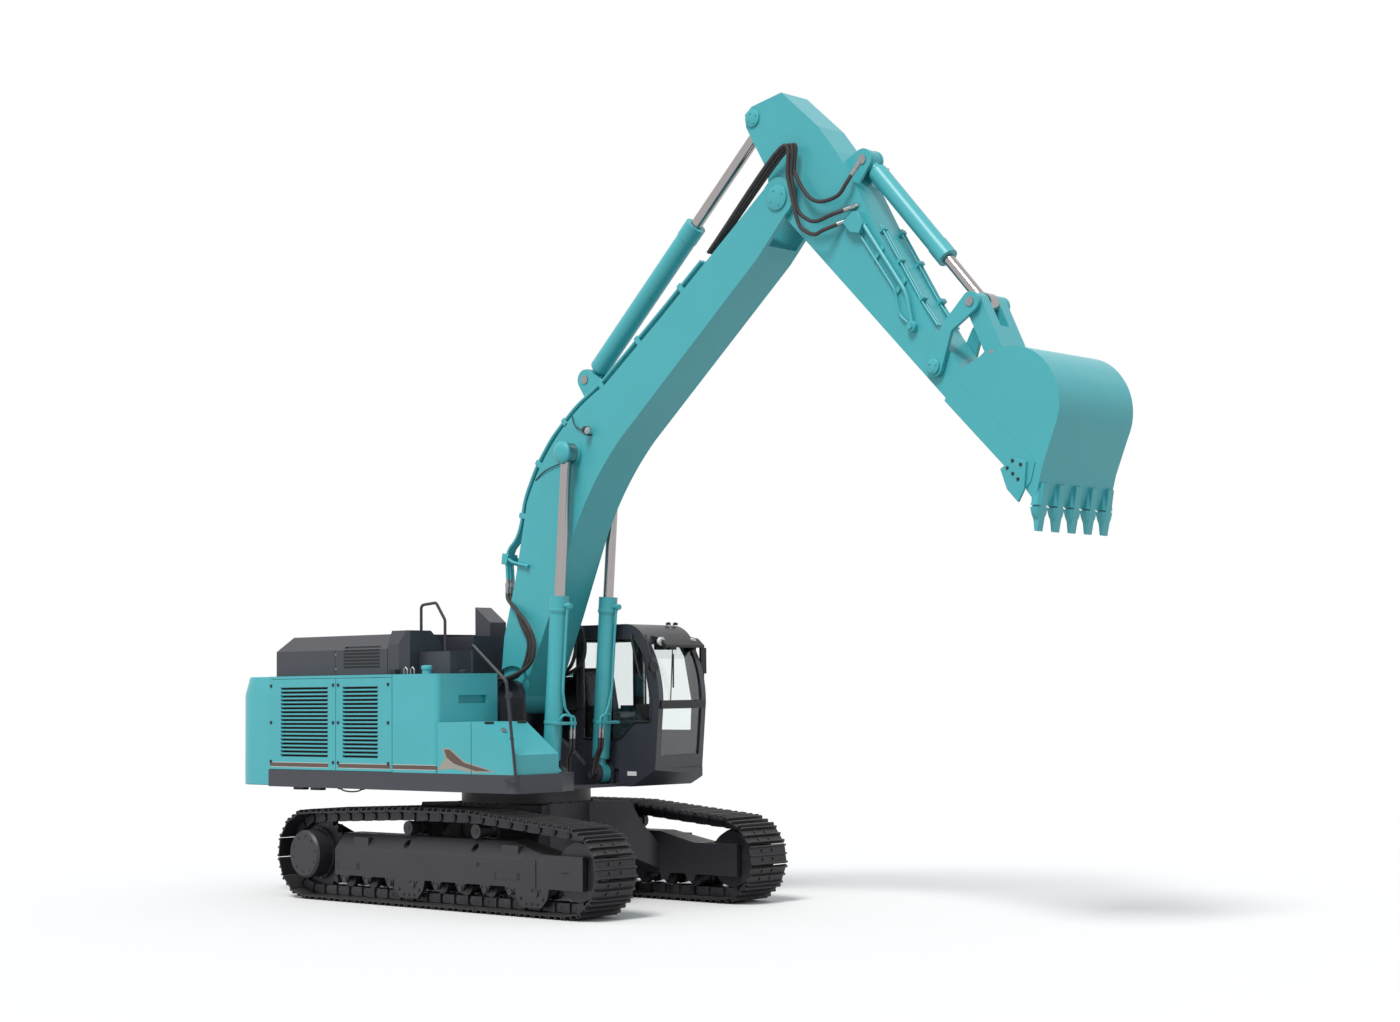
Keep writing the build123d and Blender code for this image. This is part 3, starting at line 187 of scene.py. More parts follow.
cloth = surface("seat_cloth", (0.045, 0.045, 0.055), 0.9, variation=0.35, grain=40, bump=0.5, bump_scale=700)
cloth_light = surface("seat_pattern", (0.2, 0.2, 0.22), 0.9,
                      variation=0.4, grain=60, bump=0.5, bump_scale=700)


def glazing():
    material = bpy.data.materials.new("cab_glass")
    material.use_nodes = True
    shader = material.node_tree.nodes["Principled BSDF"]
    shader.inputs["Base Color"].default_value = (0.93, 0.96, 0.96, 1)
    shader.inputs["Roughness"].default_value = 0.02
    shader.inputs["Transmission Weight"].default_value = 1.0
    shader.inputs["IOR"].default_value = 1.45
    return material


glass = glazing()

SLOTS = {
    "teal_paint": teal, "charcoal_paint": charcoal, "undercarriage_paint": under_paint,
    "track_steel": track_steel, "wear_steel": wear_steel, "pin_steel": pin_steel, "rod_chrome": rod_chrome,
    "cab_glass": glass, "black_plastic": black_plastic, "seat_cloth": cloth,
}


# Building pieces

def ring(centre, side, up, radius, sides):
    """Points round a centre, in the plane of two directions."""
    turns = [2 * math.pi * i / sides for i in range(sides)]
    return [centre + radius * (math.cos(turn) * side + math.sin(turn) * up) for turn in turns]


class Piece:
    """Collects simple solids into one mesh."""

    def __init__(self):
        self.points = []
        self.faces = []

    def add(self, points, faces):
        first = len(self.points)
        self.points += [tuple(p) for p in points]
        self.faces += [tuple(first + i for i in face) for face in faces]

    def box(self, x, y, z):
        """A block from three (low, high) pairs."""
        corners = [(a, b, c) for a in x for b in y for c in z]
        sides = [(0, 1, 3, 2), (4, 6, 7, 5), (0, 4, 5, 1), (2, 3, 7, 6), (0, 2, 6, 4), (1, 5, 7, 3)]
        self.add(corners, sides)

    def prism(self, outline, low, high):
        """A closed side-view outline, drawn as (x, z), between two y values."""
        self.plate(upright, outline, (low, high))

    def plate(self, place, outline, ys):
        """An outline drawn in a part's own directions, joined through several y values."""
        self.loft([run(place, y, outline) for y in ys])

    def loft(self, rings):
        """Joins rings of points, each of the same length, and caps both ends."""
        size = len(rings[0])
        last = (len(rings) - 1) * size
        faces = []
        for a in range(0, last, size):
            for i in range(size):
                j = (i + 1) % size
                faces.append((a + i, a + j, a + size + j, a + size + i))
        faces.append(tuple(range(size - 1, -1, -1)))
        faces.append(tuple(last + i for i in range(size)))
        self.add([p for points in rings for p in points], faces)

    def rod(self, start, end, radius, sides=16):
        """A round or many-sided bar between two points."""
        start, end = Vector(start), Vector(end)
        axis = (end - start).normalized()
        side = axis.orthogonal().normalized()
        self.loft([ring(centre, side, axis.cross(side), radius, sides) for centre in (start, end)])

    def turned(self, start, axis, profile, sides=24):
        """A turned shape: profile is (distance along the axis, radius) pairs."""
        axis = Vector(axis).normalized()
        side = axis.orthogonal().normalized()
        up = axis.cross(side)
        self.loft([ring(Vector(start) + along * axis, side, up, radius, sides) for along, radius in profile])

    def bolt(self, seat, axis, size=0.012, height=None):
        """A hex head with a washer, standing on a face."""
        axis = Vector(axis).normalized()
        seat = Vector(seat)
        height = height or size * 0.8
        self.rod(seat, seat + axis * size * 0.22, size * 1.35, 14)
        self.rod(seat + axis * size * 0.22, seat + axis * height, size, 6)

    def tube(self, points, radius, sides=10):
        """A round tube along a path of points."""
        points = [Vector(p) for p in points]
        axis = (points[1] - points[0]).normalized()
        side = axis.orthogonal().normalized()
        rings = []
        for i, point in enumerate(points):
            before = points[max(i - 1, 0)]
            after = points[min(i + 1, len(points) - 1)]
            axis = (after - before).normalized()
            side = (side - side.dot(axis) * axis).normalized()
            rings.append(ring(point, side, axis.cross(side), radius, sides))
        self.loft(rings)

    def make(self, name, material, body, slot=None, bevel=0.0, smooth=35):
        """The finished object, riding on its body. The slot argument is not used."""
        mesh = bpy.data.meshes.new(name)
        mesh.from_pydata(self.points, [], self.faces)
        mesh.validate()
        outward(mesh)
        made = bpy.data.objects.new(name, mesh)
        scene.collection.objects.link(made)
        mesh.materials.append(material)
        finish_edges(made, bevel, smooth)
        if body:
            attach(made, body)
        return made


def outward(mesh):
    """Turns every face outward."""
    form = bmesh.new()
    form.from_mesh(mesh)
    bmesh.ops.recalc_face_normals(form, faces=form.faces)
    form.to_mesh(mesh)
    form.free()


def finish_edges(made, bevel, smooth):
    """Rounds the sharp edges a little and smooths the round faces."""
    if bevel > 0:
        rounding = made.modifiers.new("rounding", "BEVEL")
        rounding.width = bevel
        rounding.segments = 2
        rounding.limit_method = "ANGLE"
        rounding.angle_limit = math.radians(40)
    bpy.context.view_layer.objects.active = made
    for other in bpy.context.selected_objects:
        other.select_set(False)
    made.select_set(True)
    bpy.ops.object.shade_smooth_by_angle(angle=math.radians(smooth))


def curve(points, steps=8):
    """A smooth path through the points."""
    points = [Vector(p) for p in points]
    ends = [2 * points[0] - points[1]] + points + [2 * points[-1] - points[-2]]
    path = []
    for i in range(len(points) - 1):
        a, b, c, d = ends[i:i + 4]
        for k in range(steps):
            t = k / steps
            path.append(0.5 * (2 * b + (c - a) * t + (2 * a - 5 * b + 4 * c - d) * t ** 2
                               + (3 * b - a - 3 * c + d) * t ** 3))
    path.append(points[-1])
    return path


def bent(points, radius, steps=5):
    """A path of straight runs with rounded corners, as hard pipe is bent."""
    points = [Vector(p) for p in points]
    path = [points[0]]
    for before, corner, after in zip(points, points[1:], points[2:]):
        to_before = (before - corner).normalized()
        to_after = (after - corner).normalized()
        reach = min(radius, (before - corner).length / 2, (after - corner).length / 2)
        start = corner + to_before * reach
        end = corner + to_after * reach
        for k in range(steps + 1):
            t = k / steps
            path.append((1 - t) ** 2 * start + 2 * t * (1 - t) * corner + t ** 2 * end)
    path.append(points[-1])
    return path


def ring_points(centre, radius, count, phase=0.0):
    """Points on a circle in the side view, as (x, z)."""
    spots = []
    for i in range(count):
        turn = 2 * math.pi * i / count + phase
        spots.append((centre[0] + radius * math.cos(turn), centre[1] + radius * math.sin(turn)))
    return spots


# The CAD nodes take the materials of their slots
slot_of = {entry["node"]: entry["material_slot"] for entry in frame["record"]["subparts"]}
soft_edges = {
    "counterweight": 0.03, "engine_hood": 0.015, "air_cover": 0.012, "centre_cover": 0.012,
    "cab_shell": 0.008, "tanks": 0.015, "toolbox": 0.006, "toolbox_lid": 0.005, "additive_tank": 0.02,
    "boom": 0.004, "arm": 0.004, "bucket": 0.004, "car_body": 0.012, "revolving_frame": 0.004,
    "track_frame_left": 0.006, "track_frame_right": 0.006, "cab_door": 0.005,
}
for node_name, node in nodes.items():
    node.data.materials.clear()
    node.data.materials.append(SLOTS[slot_of[node_name]])
    finish_edges(node, soft_edges.get(node_name, 0), 35)


# Tracks: every shoe with its bolts, and the two chains of links
TUMBLER_DISTANCE = 4.4
SHOE_PITCH = 0.229
SHOE_THICKNESS = 0.014
GROUSER_HEIGHT = 0.034
TREAD = SHOE_THICKNESS + GROUSER_HEIGHT
REAR_RADIUS = math.hypot(0.505 - TREAD, SHOE_PITCH / 2)
FRONT_RADIUS = math.hypot(0.470 - TREAD, SHOE_PITCH / 2)
SPROCKET = (-TUMBLER_DISTANCE / 2, REAR_RADIUS + TREAD)
IDLER = (TUMBLER_DISTANCE / 2, FRONT_RADIUS + TREAD)
CHAIN_DEPTH = 0.113
CARRIERS = (-0.54, 0.6)
CREST_HEIGHT = 0.945 + CHAIN_DEPTH
CRESTS = [(x, CREST_HEIGHT) for x in reversed(CARRIERS)]


def on_circle(centre, radius, turn):
    return (centre[0] + radius * math.cos(turn), centre[1] + radius * math.sin(turn))


def tangent_turn(centre, radius, point, sign):
    """Where round a circle the straight line from a point outside touches it."""
    dx, dz = point[0] - centre[0], point[1] - centre[1]
    return math.atan2(dz, dx) + sign * math.acos(radius / math.hypot(dx, dz))


FRONT_LEAVE = tangent_turn(IDLER, FRONT_RADIUS, CRESTS[0], -1)
REAR_MEET = tangent_turn(SPROCKET, REAR_RADIUS, CRESTS[1], 1)
TOP_RUN = [on_circle(IDLER, FRONT_RADIUS, FRONT_LEAVE), *CRESTS, on_circle(SPROCKET, REAR_RADIUS, REAR_MEET)]
FRONT_ARC = FRONT_RADIUS * (FRONT_LEAVE + math.pi / 2)
REAR_ARC = REAR_RADIUS * (3 * math.pi / 2 - REAR_MEET)


def loop_point(travel):
    """A point on the chain's outer face, from under the sprocket forward and round."""
    if travel < TUMBLER_DISTANCE:
        return (SPROCKET[0] + travel, TREAD)
    travel -= TUMBLER_DISTANCE
    if travel < FRONT_ARC:
        return on_circle(IDLER, FRONT_RADIUS, travel / FRONT_RADIUS - math.pi / 2)
    travel -= FRONT_ARC
    for a, b in zip(TOP_RUN, TOP_RUN[1:]):
        share = travel / math.dist(a, b)
        if share < 1:
            return (a[0] + share * (b[0] - a[0]), a[1] + share * (b[1] - a[1]))
        travel -= math.dist(a, b)
    return on_circle(SPROCKET, REAR_RADIUS, REAR_MEET + travel / REAR_RADIUS)


LOOP = TUMBLER_DISTANCE + FRONT_ARC + REAR_ARC + sum(math.dist(a, b) for a, b in zip(TOP_RUN, TOP_RUN[1:]))
SHOES = round(LOOP / SHOE_PITCH)
shoe_ends = [loop_point(LOOP * n / SHOES) for n in range(SHOES)]


def shoe_frame(n):
    """Start, forward and outward directions, and length of one shoe."""
    a = Vector((shoe_ends[n % SHOES][0], 0, shoe_ends[n % SHOES][1]))
    b = Vector((shoe_ends[(n + 1) % SHOES][0], 0, shoe_ends[(n + 1) % SHOES][1]))
    along = (b - a).normalized()
    return a, along, Vector((along.z, 0, -along.x)), (b - a).length


def shoe_profile(length):
    """A shoe's section, as (along, out): a plate with three grousers and a hooked front edge."""
    t = SHOE_THICKNESS
    top = TREAD
    gap = 0.0035
    end = length - gap
    profile = [(gap, -0.004), (end - 0.012, -0.004), (end, 0.002), (end, t)]
    for centre in (end - 0.016, length / 2, gap + 0.016):
        profile += [(centre + 0.014, t), (centre + 0.007, top - 0.002), (centre + 0.004, top),
                    (centre - 0.004, top), (centre - 0.007, top - 0.002), (centre - 0.014, t)]
    profile.append((gap, t))
    return [(min(max(p[0], gap), end), p[1]) for p in profile]


def track_shoes(name, centre):
    shoes = Piece()
    for n in range(SHOES):
        start, along, out, length = shoe_frame(n)
        profile = shoe_profile(length)
        rings = []
        for y, drop in ((-0.2995, 0.012), (-0.286, 0), (0.286, 0), (0.2995, 0.012)):
            ring = []
            for t, h in profile:
                lowered = h - drop if h > SHOE_THICKNESS else h
                ring.append(start + along * t + out * lowered + Vector((0, centre + y, 0)))
            rings.append(ring)
        shoes.loft(rings)
    return shoes.make(name, track_steel, "undercarriage", smooth=25)


def track_bolts(name, centre):
    bolts = Piece()
    for n in range(SHOES):
        start, along, out, length = shoe_frame(n)
        for share in (0.29, 0.71):
            for y in (-0.085, 0.085):
                seat = start + along * length * share + out * SHOE_THICKNESS + Vector((0, centre + y, 0))
                bolts.rod(seat, seat + out * 0.012, 0.016, 6)
    return bolts.make(name, wear_steel, "undercarriage")


PIN_DEPTH = 0.062


def chain_pin(n):
    """The pin between shoes n - 1 and n, half way into the rail."""
    before = shoe_frame(n - 1)[2]
    start, _, out, _ = shoe_frame(n)
    inward = (before + out).normalized()
    return start - inward * PIN_DEPTH


def track_links(name, centre):
    """Link plates that overlap at each pin, with the pins and bushings between them."""
    links = Piece()
    pins = [chain_pin(n) for n in range(SHOES)]
    boss = 0.046
    for n in range(SHOES):
        a, b = pins[n], pins[(n + 1) % SHOES]
        _, along, out, length = shoe_frame(n)
        middle = (a + b) / 2
        for side in (-1, 1):
            for first, second, low, high in ((a, middle, 0.0845, 0.109), (b, middle, 0.061, 0.0855)):
                toward = (second - first).normalized()
                outline = []
                for k in range(9):
                    turn = math.pi / 2 + math.pi * k / 8
                    outline.append(first + boss * (math.cos(turn) * toward + math.sin(turn) * out))
                outline.append(middle + toward * 0.03 - out * 0.05)
                outline.append(middle + toward * 0.03 + out * 0.052)
                outline.append(first + toward * 0.06 + out * 0.052)
                rings = []
                for y in (side * low, side * high):
                    rings.append([p + Vector((0, centre + y, 0)) for p in outline])
                links.loft(rings)
        links.rod(a + Vector((0, centre - 0.112, 0)), a + Vector((0, centre + 0.112, 0)), 0.022, 12)
        links.rod(a + Vector((0, centre - 0.06, 0)), a + Vector((0, centre + 0.06, 0)), 0.033, 14)
    return links.make(name, wear_steel, "undercarriage", "track_steel")


for side_name, side in SIDES:
    centre = side * TRACK_CENTRE
    shoes = track_shoes("shoes_" + side_name, centre)
    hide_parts("track_" + side_name)
    track_bolts("shoe_bolts_" + side_name, centre)
    track_links("chain_" + side_name, centre)


ROLLER_XS = [-1.56 + 0.4 * n for n in range(9)]
GUARD_XS = (-0.43, 1.57)
FRAME_SIDE = 0.2


def track_fasteners(name, side):
    """Roller caps, guard bolts and the bolt rings of the final drive."""
    caps = Piece()
    face = side * (TRACK_CENTRE + FRAME_SIDE)
    out = Vector((0, side, 0))
    for x in ROLLER_XS:
        centre = Vector((x, face, 0.245))
        caps.rod(centre, centre + out * 0.014, 0.036, 20)
        for dx in (-0.058, 0.058):
            caps.bolt(centre + Vector((dx, 0, 0.032)), out, 0.012)
    for x in GUARD_XS:
        for dx in (-0.17, 0.17):
            caps.bolt((x + dx, face, 0.19), out, 0.016)
        for dx in (-0.09, 0, 0.09):
            caps.bolt((x + dx, face, 0.135), out, 0.013)
    for x, z in ring_points(SPROCKET, 0.288, 20):
        caps.bolt((x, side * (TRACK_CENTRE + 0.085), z), out, 0.011)
    cover = side * (TRACK_CENTRE + 0.299)
    for x, z in ring_points(SPROCKET, 0.205, 10, 0.2):
        caps.bolt((x, cover, z), out, 0.012, 0.006)
    return caps.make(name, wear_steel, "undercarriage")


def track_frame_details(name, side):
    """Ledge boxes, cover plates, the seam of the front fork, and dark films that paint the shade of its slot
    and oval hole.
    """
    parts = Piece()
    dark = Piece()
    face = side * (TRACK_CENTRE + FRAME_SIDE)
    plate_y = sorted((face, face + side * 0.006))
    for x in (-1.31, 1.20):
        y = span(side, 1.235, 1.36)
        parts.box((x - 0.13, x + 0.13), y, (0.62, 0.735))
    for x in (-1.51, 1.18):
        parts.box((x - 0.2, x + 0.2), plate_y, (0.375, 0.45))
        for dx in (-0.17, 0.17):
            for z in (0.395, 0.43):
                parts.bolt((x + dx, face + side * 0.006, z), (0, side, 0), 0.009)
    parts.box((1.630, 1.642), sorted((side * 1.19, face + side * 0.008)), (0.302, 0.60))
    parts.box((1.52, 1.64), plate_y, (0.305, 0.595))
    # Painted shade: flat dark films where a slot and an oval hole would show dark
    hole = sorted((face, face + side * 0.002))
    dark.prism(ring_points((0.722, 0.515), 0.028, 16), *hole)
    dark.box((2.03, 2.14), hole, (0.472, 0.487))
    parts.make(name, under_paint, "undercarriage", bevel=0.004)
    dark.make(name + "_hole_shade", shadow, "undercarriage")


for side_name, side in SIDES:
    track_fasteners("track_fasteners_" + side_name, side)
    track_frame_details("track_frame_details_" + side_name, side)


def car_body_bolts():
    bolts = Piece()
    for x, y in ring_points((0, 0), 0.762, 36):
        bolts.bolt((x, y, 1.12), (0, 0, 1), 0.014)
    for side in (-1, 1):
        for x in (-0.62, -0.2, 0.2, 0.62):
            bolts.bolt((x, side * 0.98, 0.62), (0, 0, 1), 0.016)
    return bolts.make("car_body_bolts", wear_steel, "undercarriage")


car_body_bolts()


# Side panels: stripes, latches, and painted shade behind the louvres and above each slot

DOORS = {
    "door_right_rear": (-1, (-2.848, -1.747), (-2.831, -1.656), (-2.65, -1.745)),
    "door_right_front": (-1, (-1.563, -0.634), (-1.564, -0.667), (-1.49, -0.84)),
    "door_left_rear": (1, (-2.848, -1.747), (-2.831, -1.656), (-2.65, -1.745)),
    "door_left_front": (1, (-1.563, -0.40), (-1.564, -0.39), (-1.49, -0.64)),
}
STRIPE_LOW = 1.528
STRIPE_HIGH = 1.572
LATCH_HEIGHTS = (1.585, 2.043, 2.475)


def skin(side, depth=0.0012):
    """The y range of a film on the house's side."""
    return span(side, HOUSE_SIDE, HOUSE_SIDE + depth)


def stripe(name, side, x, body):
    """A brown band between two cream lines."""
    band = Piece()
    band.box(x, skin(side), (STRIPE_LOW, STRIPE_HIGH))
    band.make(name + "_stripe", brown, body, "charcoal_paint")
    lines = Piece()
    for z in (STRIPE_LOW - 0.007, STRIPE_HIGH + 0.001):
        lines.box(x, skin(side), (z, z + 0.006))
    lines.make(name + "_stripe_lines", cream, body)


def door_dressing(name, side, stripe_x, latch_xs, louvre_x):
    stripe(name, side, stripe_x, name)
    # A dark sheet behind the louvres: painted shade that the slots show
    louvre_shade_panel = Piece()
    louvre_shade_panel.box(louvre_x, span(side, 1.446, 1.449), (1.63, 2.49))
    louvre_shade_panel.make(name + "_backing", shadow, name)
    latches = Piece()
    button = ((0, 0.019), (0.008, 0.019), (0.012, 0.014))
    for x in latch_xs:
        for z in LATCH_HEIGHTS:
            latches.turned((x, side * HOUSE_SIDE, z), (0, side, 0), button, 18)
    latches.make(name + "_latches", black_plastic, name)
    # Thin dark strips above each louvre slot: painted shade under the lips
    lip_shade_strips = Piece()
    for n in range(18):
        top = 1.665 + 0.046 * n
        lip_shade_strips.box(louvre_x, skin(side, 0.0008), (top, top + 0.007))
    lip_shade_strips.make(name + "_louvre_lip_shade", shadow, name)


for name, (side, stripe_x, latch_xs, louvre_x) in DOORS.items():
    door_dressing(name, side, stripe_x, latch_xs, louvre_x)

stripe("tank", -1, (-0.59, 0.155), "upper")

SWOOSH_OUTER = (
    (0.175, 1.532), (0.19, 1.55), (0.30, 1.655), (0.262, 1.765), (0.385, 1.765), (0.62, 1.625),
    (1.125, 1.519), (0.74, 1.506), (0.42, 1.546), (0.26, 1.528),
)
SWOOSH_CORE = (
    (0.285, 1.752), (0.375, 1.752), (0.61, 1.612), (1.05, 1.526), (0.80, 1.526), (0.45, 1.60), (0.33, 1.665),
)


def film(name, outline, color, depth):
    """A painted shape on the toolbox, cut where its two boxes meet."""
    for part, (low, high) in (("rear", (0.176, 0.726)), ("front", (0.738, 1.15))):
        shape = Piece()
        cut = clipped(clipped(outline, low, 1), high, -1)
        if len(cut) > 2:
            shape.prism(cut, *skin(-1, depth))
            shape.make(name + "_" + part, color, "upper", "teal_paint")


def clipped(outline, edge, sign):
    """The part of an outline on one side of an upright line."""
    kept = []
    for (ax, az), (bx, bz) in zip(outline, outline[1:] + outline[:1]):
        inside = sign * (ax - edge) >= 0
        if inside:
            kept.append((ax, az))
        if inside != (sign * (bx - edge) >= 0):
            share = (edge - ax) / (bx - ax)
            kept.append((edge, az + share * (bz - az)))
    return tuple(kept)


film("swoosh", SWOOSH_OUTER, beige, 0.001)
film("swoosh_core", SWOOSH_CORE, brown, 0.002)


def hood_dressing():
    """Thin dark films on both sides of the hood, painted shade for its grille slots, a dark line for its
    seam, and its bolts.
    """
    slots = Piece()
    bolts = Piece()
    for side in (-1, 1):
        y = span(side, 1.2995, 1.3015)
        # Dark films proud of the hood side: painted shade where the grille slots are
        for n in range(6):
            z = 2.667 + 0.038 * n
            slots.box((-1.70, -1.05), y, (z, z + 0.024))
        slots.box((-1.863, -1.857), y, (2.60, 2.875))
        for z in (2.66, 2.83):
            bolts.bolt((-1.84, side * 1.30, z), (0, side, 0), 0.010)
    slots.make("hood_grille_shade_and_seam", shadow, "hood")
    bolts.make("hood_bolts", pin_steel, "hood")


hood_dressing()


def deck_fittings():
    """Caps and locks on the tanks' top, and the lid's lock."""
    dark = Piece()
    dark.box((-0.72, -0.62), (-1.43, -1.35), (2.585, 2.64))
    dark.turned((0.04, -1.0, 2.585), (0, 0, 1), ((0, 0.05), (0.03, 0.05), (0.045, 0.02)))
    dark.make("breather_caps", black_plastic, "upper")
    cap = Piece()
    profile = ((0, 0.05), (0.05, 0.05), (0.052, 0.062), (0.085, 0.062), (0.095, 0.045))
    cap.turned((-0.13, -1.38, 2.585), (0, 0, 1), profile)
    cap.make("fuel_cap", teal, "upper", bevel=0.002)
    bright = Piece()
    for x in (-0.50, -0.38):
        bright.tube([(x, -1.40, 2.585), (x, -1.40, 2.64), (x + 0.03, -1.40, 2.665), (x + 0.06, -1.40, 2.64),
                     (x + 0.06, -1.40, 2.585)], 0.007)
    bright.make("tank_handles", pin_steel, "upper")
    lock = Piece()
    slope = Vector((0.35, 0, 0.51)).normalized()
    place = Vector((1.04, -1.30, 1.954))
    lock.rod(place, place + slope * 0.02, 0.035, 24)
    lock.make("lid_lock", pin_steel, "lid", bevel=0.003)
    latch = Piece()
    place = Vector((1.17, -1.30, 1.865))
    latch.rod(place, place + slope * 0.018, 0.022, 20)
    for y in (-1.40, -0.92):
        latch.rod((0.925, y - 0.06, 2.045), (0.925, y + 0.06, 2.045), 0.012, 12)
    latch.make("lid_latch", black_plastic, "lid")


deck_fittings()


def underside():
    """Black blocks and a hanging hose under the deck's right edge."""
    blocks = Piece()
    for x in ((-2.464, -2.274), (-2.142, -1.955)):
        blocks.box(x, (-1.44, -1.36), (1.258, 1.295))
    for x in (-1.64, -1.24):
        blocks.box((x - 0.02, x + 0.02), (-1.42, -1.38), (1.275, 1.295))
    blocks.make("deck_blocks", black_plastic, "upper")
    hose = Piece()
    path = ((-1.64, 1.285), (-1.57, 1.262), (-1.44, 1.252), (-1.31, 1.262), (-1.24, 1.285))
    hose.tube(curve(run(upright, -1.40, path)), 0.009)
    hose.make("drain_hose", rubber, "upper")


underside()


def arc_through(a, b, c, steps):
    """Points on the circle through three points, from a up to, but not with, c."""
    ax, ay, bx, by, cx, cy = *a, *b, *c
    d = 2 * (ax * (by - cy) + bx * (cy - ay) + cx * (ay - by))
    aa, bb, cc = ax * ax + ay * ay, bx * bx + by * by, cx * cx + cy * cy
    ux = (aa * (by - cy) + bb * (cy - ay) + cc * (ay - by)) / d
    uy = (aa * (cx - bx) + bb * (ax - cx) + cc * (bx - ax)) / d
    start = math.atan2(ay - uy, ax - ux)
    sweep = (math.atan2(cy - uy, cx - ux) - start + math.pi) % (2 * math.pi) - math.pi
    radius = math.hypot(ax - ux, ay - uy)
    return [on_circle((ux, uy), radius, start + sweep * k / steps) for k in range(steps)]


def counterweight_plan(inset):
    """The tail's outline from above, drawn in by an inset."""
    front, w, tail, corner = -2.88, 1.47 - inset, -3.78 + inset, 1.1
    rear = -math.sqrt(3.78 ** 2 - corner ** 2) + inset
    right = arc_through((front - 0.33, -w), (rear + 0.075, 0.145 - w), (rear, -corner), 8)
    back = arc_through((rear, -corner), (tail, 0), (rear, corner), 24)
    left = arc_through((rear, corner), (rear + 0.075, w - 0.145), (front - 0.33, w), 8)
    return [(front, -w)] + right + back + left + [(front - 0.33, w), (front, w)]


def counterweight():
    """The whole weight, with the leaning band round its top."""
    weight = Piece()
    weight.loft([[(x, y, z) for x, y in counterweight_plan(inset)]
                 for z, inset in ((1.30, 0), (2.365, 0), (HOUSE_TOP, 0.04))])
    made = weight.make("counterweight_whole", teal, "upper", bevel=0.012)
    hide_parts("counterweight")


counterweight()


def lift_eyes():
    """Two lugs on the counterweight's top."""
    lugs = Piece()
    for y in (-0.62, 0.62):
        lugs.prism(bar_outline((-3.15, 2.56), 0.07, (-3.15, 2.63), 0.05), y - 0.02, y + 0.02)
    lugs.make("lift_eyes", teal, "upper", bevel=0.004)


def bar_outline(a, a_radius, b, b_radius, sides=10):
    """Two round ends joined, for ends one above the other."""
    points = []
    for k in range(sides + 1):
        turn = math.pi * k / sides
        points.append((b[0] + b_radius * math.cos(turn), b[1] + b_radius * math.sin(turn)))
    for k in range(sides + 1):
        turn = math.pi + math.pi * k / sides
        points.append((a[0] + a_radius * math.cos(turn), a[1] + a_radius * math.sin(turn)))
    return points


lift_eyes()


# Boom: hard pipes on its back, ending at a block on each side

BOOM_BACK = (
    (1.11, 0.785), (1.9, 1.165), (2.3, 1.232), (2.7, 1.225), (3.2, 1.118), (3.64, 0.94), (4.713, 0.66),
    (6.063, 0.335),
)
BOOM_SIDE = 0.27
PIPE_LIFT = 0.07
PIPE_ROWS = ((0.162, 0.016), (0.206, 0.019), (0.250, 0.019))


def back_height(along):
    """The boom's back over its pin line."""
    for (a, low), (b, high) in zip(BOOM_BACK, BOOM_BACK[1:]):
        if a <= along <= b:
            return low + (high - low) * (along - a) / (b - a)
    raise ValueError(along)


def boom_pipes(side):
    pipes = Piece()
    for y, radius in PIPE_ROWS:
        path = [(1.00, 0.90), (1.16, 1.05), (1.28, 1.10), (1.45, 1.06), (1.62, back_height(1.62) + PIPE_LIFT)]
        path += [(a, h + PIPE_LIFT) for a, h in BOOM_BACK if 1.7 < a < 5]
        path += [(5.5, back_height(5.5) + PIPE_LIFT)]
        pipes.tube(bent(run(on_boom, side * y, path), 0.12), radius)
    return pipes


def boom_clamps(side):
    """Clamp bars over the pipes, and the end block."""
    bars = Piece()
    for along in (1.75, 2.35, 2.95, 3.6, 4.3, 5.1):
        height = back_height(along)
        slope = back_height(along + 0.1) - back_height(along - 0.1)
        tangent = Vector((0.2, slope)).normalized()
        corners = []
        for t, n in ((-0.03, 0), (0.03, 0), (0.03, 0.1), (-0.03, 0.1)):
            corners.append((along + t * tangent.x - n * tangent.y, height + t * tangent.y + n * tangent.x))
        bars.plate(on_boom, corners, (side * 0.135, side * 0.27))
    bars.plate(on_boom, ((1.13, 1.0), (1.24, 1.05), (1.2, 1.14), (1.09, 1.08)), (side * 0.12, side * 0.275))
    bars.plate(on_boom, ((1.13, 0.70), (1.21, 0.74), (1.21, 1.05), (1.13, 1.03)), (side * 0.10, side * 0.125))
    return bars


for side_name, side in SIDES:
    boom_pipes(side).make("boom_pipes_" + side_name, teal, "boom")
    boom_clamps(side).make("boom_clamps_" + side_name, teal, "boom", bevel=0.003)


def fitting(piece, start, end, radius):
    """A crimped hose end: sleeve, hexagon and neck."""
    start, end = Vector(start), Vector(end)
    axis = end - start
    piece.rod(start, start + axis * 0.5, radius * 1.25, 16)
    piece.rod(start + axis * 0.5, start + axis * 0.75, radius * 1.45, 6)
    piece.rod(start + axis * 0.75, end, radius, 12)


